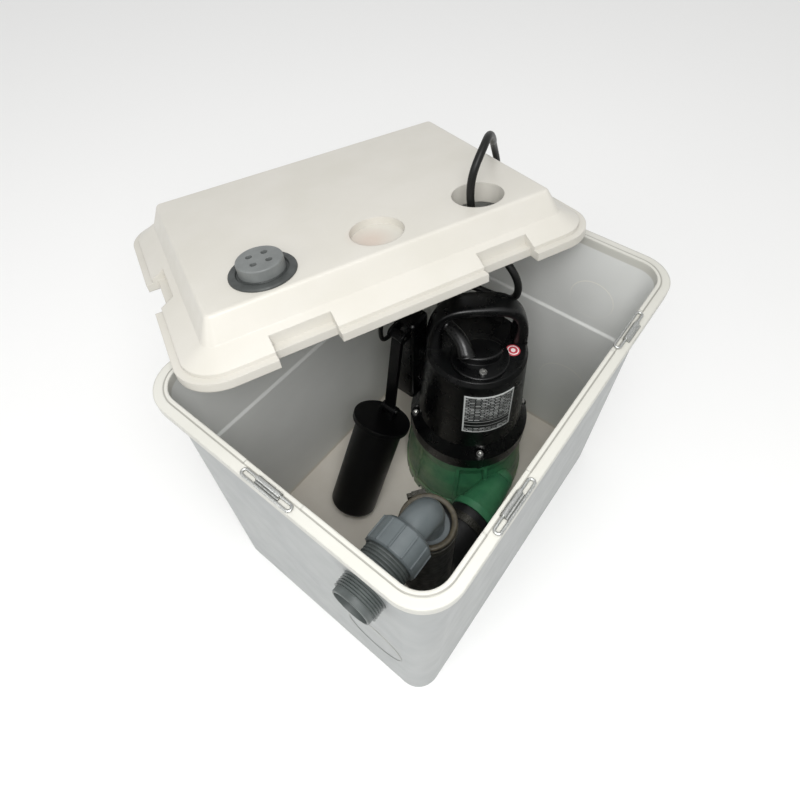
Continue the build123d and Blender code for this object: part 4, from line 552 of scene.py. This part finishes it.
def handle_grid():
    """Carry handle: a rounded bar on an arch.

    The arch is the half span times cos^(2/n) across and the rise times sin^(2/n) up, n = 3.6. Its section is
    a squarish oval, 12 mm thick and thicker at the feet, 22 mm deep and growing backwards to 30 mm over the
    middle.
    """
    turn = np.linspace(0, math.pi, 90)
    power = 2 / 3.6
    across = -handle_half * np.sign(np.cos(turn)) * np.abs(np.cos(turn)) ** power
    up = housing_top + handle_rise * np.abs(np.sin(turn)) ** power
    across[0], across[-1] = -handle_half, handle_half
    line = np.stack([across, up], 1)
    way = np.gradient(line, axis=0)
    way /= np.linalg.norm(way, axis=1)[:, None]
    normal = np.stack([-way[:, 1], way[:, 0]], 1)
    mid = np.sin(turn)
    thick = 6.0 + 3.0 * (1 - mid) ** 3
    ahead, behind = 11.0, 11.0 + 8.0 * mid ** 4
    spin = np.linspace(0, 2 * math.pi, 48, endpoint=False)
    deep = np.sign(np.cos(spin)) * np.abs(np.cos(spin)) ** 0.55
    tall = np.sign(np.sin(spin)) * np.abs(np.sin(spin)) ** 0.55
    reach = np.where(deep > 0, ahead, behind[:, None]) * deep
    forward = np.array((math.cos(pump_front), math.sin(pump_front), 0.0))
    rightward = np.array((-math.sin(pump_front), math.cos(pump_front), 0.0))
    stand = pump_spot - forward * handle_back
    flat = line[:, None] + (thick[:, None] * tall)[..., None] * normal[:, None]
    return (stand + flat[..., :1] * rightward + flat[..., 1:] * np.array((0.0, 0.0, 1.0))
            + reach[..., None] * forward)


def plate_grid(middle_turn, low, high, width, thick):
    """Rating plate wrapped on the bell: turn and height run over it, the radius is the bell's cone there.

    The rows go up the outside face and back down the inside face, so that the skin closes; the chart holds
    millimetres across and up from the plate's middle.
    """
    share = np.linspace(-0.5, 0.5, 33)
    heights = np.concatenate([np.linspace(low, high, 13), np.linspace(high, low, 13)])
    stand = np.concatenate([np.full(13, thick), np.full(13, 0.3)])
    (wide, foot), (narrow, head) = bell_foot, bell_head
    cone = wide + (narrow - wide) * (heights - foot) / (head - foot)
    radius = cone + stand
    turn = middle_turn + share[None, :] * width / cone[:, None]
    grid = np.stack([pump_spot[0] + radius[:, None] * np.cos(turn),
                     pump_spot[1] + radius[:, None] * np.sin(turn),
                     np.broadcast_to(heights[:, None], turn.shape)], 2)
    chart = np.stack([np.broadcast_to(share[None, :] * width, turn.shape),
                      np.broadcast_to(heights[:, None] - (low + high) / 2, turn.shape)], 2)
    return grid.transpose(1, 0, 2), chart.transpose(1, 0, 2).reshape(-1, 2)


def cord_line(name, points, diameter_mm, finish):
    """Cord as one NURBS spline of order 3 through the route's points in millimetres, with a round section."""
    curve = bpy.data.curves.new(name, "CURVE")
    curve.dimensions = "3D"
    line = curve.splines.new("NURBS")
    line.points.add(len(points) - 1)
    for spot, place in zip(line.points, points):
        spot.co = (place[0] * MM, place[1] * MM, place[2] * MM, 1.0)
    line.order_u = 3
    line.use_endpoint_u = True
    line.resolution_u = 10
    curve.bevel_depth = diameter_mm * MM / 2
    curve.bevel_resolution = 5
    curve.use_fill_caps = True
    made = bpy.data.objects.new(name, curve)
    scene.collection.objects.link(made)
    curve.materials.append(finish)
    return made


def as_tube(line):
    """Cord as a mesh, whose points can follow two bodies, and the path of the same spline with no bevel."""
    skin = bpy.data.meshes.new_from_object(line)
    line.data.bevel_depth = 0.0
    line.data.use_fill_caps = False
    bpy.context.view_layer.update()
    track = bpy.data.meshes.new_from_object(line)
    path = np.empty(len(track.vertices) * 3)
    track.vertices.foreach_get("co", path)
    name, finish = line.name, line.data.materials[0]
    bpy.data.objects.remove(line)
    skin.name = name
    skin.materials.clear()
    skin.materials.append(finish)
    made = bpy.data.objects.new(name, skin)
    scene.collection.objects.link(made)
    return made, path.reshape(-1, 3).tolist()


def frame_camera():
    """Camera at the photograph's place, from the fitted angles, focal length and picture centre."""
    turn, lift, roll = math.radians(-51.675), math.radians(50.378), math.radians(-0.673)
    back = Vector((math.sin(turn) * math.cos(lift), -math.cos(turn) * math.cos(lift), math.sin(lift)))
    right = Vector((math.cos(turn), math.sin(turn), 0.0))
    up = back.cross(right)
    right, up = math.cos(roll) * right + math.sin(roll) * up, math.cos(roll) * up - math.sin(roll) * right
    lens = bpy.data.cameras.new("camera")
    lens.lens = 580.15 / 800 * 36
    lens.sensor_width = 36
    lens.shift_x = (400 - 406.9) / 800
    lens.shift_y = (339.2 - 400) / 800
    lens.clip_start = 0.05
    made = bpy.data.objects.new("camera", lens)
    scene.collection.objects.link(made)
    turned = Matrix((right, up, back)).transposed().to_4x4()
    made.matrix_world = Matrix.Translation((-0.2838, -0.1971, 0.7366)) @ turned
    scene.camera = made


surround = 0.7
lamps = (
    ("high light", (-0.75, -0.6, 2.3), (0.0, 0.0, 0.2), 0.9, 15.0),
    ("light at the camera", (-0.31, -0.22, 0.78), (0.0, 0.0, 0.2), 0.3, 1.95),
    ("top light", (0.1, -0.1, 2.4), (0.0, 0.0, 0.2), 1.4, 4.0),
    ("left light", (-2.0, 0.6, 1.3), (0.0, 0.0, 0.2), 1.0, 6.5),
)


def studio():
    """Plain pale floor, even white surroundings, a broad high light, one at the camera and two weak ones."""
    floor = bpy.data.meshes.new("floor")
    reach = 6.0
    floor.from_pydata([(-reach, -reach, 0), (reach, -reach, 0), (reach, reach, 0), (-reach, reach, 0)], [],
        [(0, 1, 2, 3)])
    ground = bpy.data.objects.new("floor", floor)
    scene.collection.objects.link(ground)
    paper, _, shader, _ = start("matt white paper")
    shader.inputs["Base Color"].default_value = linear("#F7F7F6")
    shader.inputs["Roughness"].default_value = 0.9
    floor.materials.append(paper)
    world = bpy.data.worlds.new("studio")
    scene.world = world
    world.use_nodes = True
    world.node_tree.nodes["Background"].inputs["Color"].default_value = (1, 1, 1, 1)
    world.node_tree.nodes["Background"].inputs["Strength"].default_value = surround
    for name, place, aim, size, power in lamps:
        lamp = bpy.data.lights.new(name, "AREA")
        lamp.shape = "SQUARE"
        lamp.size = size
        lamp.energy = power
        made = bpy.data.objects.new(name, lamp)
        scene.collection.objects.link(made)
        made.location = place
        made.visible_camera = False
        made.rotation_euler = (Vector(aim) - Vector(place)).to_track_quat("-Z", "Y").to_euler()
    scene.view_settings.view_transform = "Standard"


frame_camera()
studio()

boot_tip = np.array((54.0, 19.4, 280.0))
arch_foot, arch_next = np.array((115.0, 36.0, 368.0)), np.array((118.0, 41.5, 405.0))
join = arch_foot + (arch_next - arch_foot) * 0.75
inner_route = [boot_tip, (62, 32, 284), (85.3, 44.0, 290.8), (120, 40, 276), (130, 6, 268),
               (118, -27, 290), (113, -29, 325), (113, 2, 350), arch_foot, join]
coil_middle, coil_radius, coil_pitch = (134.0, 224.0), 44.0, 8.7
coil_start, coil_sweep, coil_low = 46.0, 6 * 360 + 44.0, 4.6
coil_high = coil_low + coil_pitch * coil_sweep / 360
turns = np.arange(0, coil_sweep + 1, coil_sweep / 88)
swing = np.radians(coil_start + turns)
widen = coil_radius / math.cos(math.radians(coil_sweep / 88 / 2)) * 1.004
coil_route = np.stack([coil_middle[0] + widen * np.cos(swing), coil_middle[1] + widen * np.sin(swing),
                       coil_high - coil_pitch * turns / 360], 1)
coil_route[0] = (coil_middle[0] + coil_radius * math.cos(swing[0]),
                 coil_middle[1] + coil_radius * math.sin(swing[0]), coil_high)
coil_end = np.array((coil_middle[0], coil_middle[1] + coil_radius, coil_low))
tail = [coil_end + (-22, 0, -0.7), coil_end + (-56, 0, 8.3)]
coil_route = np.vstack([coil_route[:-1], tail])
heading = np.array((-math.sin(swing[0]), math.cos(swing[0]), -coil_pitch / (2 * math.pi * coil_radius)))
heading /= np.linalg.norm(heading)
lead_in = coil_route[0] - heading * 32
outer_route = [join, arch_next, (122, 41, 423), (137, 42.5, 436), (156, 49, 437), (176, 57, 424),
               (207, 71, 396), (264, 104, 360), (281, 98, 309), (286, 114, 262), (277, 144, 215),
               (256, 172, 168), (230, 194, 122), (206, 212, 82), lead_in, coil_route[0]]
lead_route = [(34, 70.5, 250), (18, 70.5, 250), (8, 69, 262), (6, 66, 292), (14, 64, 312), (25, 63, 331),
              (49, 61, 329), (56, 59.5, 306), (56, 59.5, 272)]

inner_cord = cord_line("mains_cord_inside", inner_route, 8.0, cord_rubber)
outer_cord = cord_line("mains_cord_outside", outer_route, 8.0, cord_rubber)
coil_cord = cord_line("mains_cord_coil", coil_route, 8.0, cord_rubber)
lead = cord_line("float_switch_lead", lead_route, 5.0, cord_rubber)
# The two runs through the lid become meshes set in the world, and the paths of their splines are kept
inner_cord, inner_path = as_tube(inner_cord)
outer_cord, outer_path = as_tube(outer_cord)
settle(coil_cord, "station", "cord_rubber", "cord_coil")
settle(lead, "station", "cord_rubber", "switch_lead")
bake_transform(inner_cord)
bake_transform(outer_cord)
for piece, node in ((inner_cord, "cord_inner"), (outer_cord, "cord_outer")):
    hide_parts(node)

settle(surface("riser_hose_wall", hose_grid(), hose_rubber, ring=True), "station", "hose_rubber",
    "riser_hose")
boot = boot_grid(np.array((41.0, -18.0, 264.6)), np.array((50.0, -8.0, 279.0)), boot_tip)
settle(surface("cable_boot_moulded", boot, boot_rubber), "station", "cord_rubber", "cable_boot")

vent_middle = lid_at(-port_spacing, port_row, crown_height)
vent_profile = [(18.05, 2.9), (21.2, 2.9), (21.5, 2.5), (21.7, 1.2), (23.2, 1.2), (23.5, 2.4), (24.1, 2.9),
                (28.6, 2.7), (29.9, 2.2), (30.6, 1.3), (30.7, 0.1), (24.9, 0.05), (24.9, -3.15),
                (27.9, -3.2), (27.9, -5.6), (27.3, -6.1), (18.05, -6.1)]
vent = turned_grid(vent_profile, vent_middle, lid_ways[0], lid_ways[2])
settle(surface("vent_grommet_moulded", vent, vent_rubber, ring=True, sharp=35.0), "lid", "vent_rubber",
    "vent_grommet")

# The strip is cut away at the notches, so it lies in three stretches: start and length along its outline
for number, (start_mm, length_mm) in enumerate(((1158.8, 855.7), (715.5, 173.3), (954.8, 138.0)), 1):
    strip = strip_grid(start_mm, length_mm, 5.55, 4.8, 2.9)
    settle(surface(f"lid_seal_strip_{number}", strip, seal_rubber), "lid", "seal_rubber", "lid_seal")

settle(surface("carry_handle_moulded", handle_grid(), bell_plastic), "station", "black_plastic",
    "carry_handle")
plate, plate_chart = plate_grid(math.radians(-130.0), 172.0, 234.0, 56.0, 0.9)
plate_chart = np.vstack([plate_chart, plate_chart[:26].mean(0), plate_chart[-26:].mean(0)])
settle(surface("rating_plate_printed", plate, foil, chart=plate_chart, sharp=30.0), "station", "plate_foil",
    "rating_plate")
disc_profile = [(0.05, 0.05), (7.4, 0.05), (7.7, 0.2), (7.4, 0.42), (0.05, 0.42)]
disc = turned_grid(disc_profile, sticker_spot, np.array((1.0, 0.0, 0.0)), np.array((0.0, 0.0, 1.0)))
settle(surface("round_sticker_printed", disc, sticker), "station", "sticker_foil", "round_sticker")

for name, bore, material in (("outlet_seal", 21.1, seal_rubber), ("union_seal", 15.2, seal_rubber)):
    low, high = (np.array(corner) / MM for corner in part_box(name))
    outer, width = (high[1] - low[1]) / 2, high[0] - low[0]
    ring_profile = [(bore, 0.3), (bore + 0.3, 0.0), (outer - 0.5, 0.0), (outer, 0.5), (outer, width - 0.5),
                    (outer - 0.5, width), (bore + 0.3, width), (bore, width - 0.3)]
    ring = turned_grid(ring_profile, np.array((low[0], pipe_y, outlet_z)), np.array((0.0, 1.0, 0.0)),
        np.array((1.0, 0.0, 0.0)))
    settle(surface(name + "_moulded", ring, material, ring=True, sharp=35.0), "station", "seal_rubber", name)
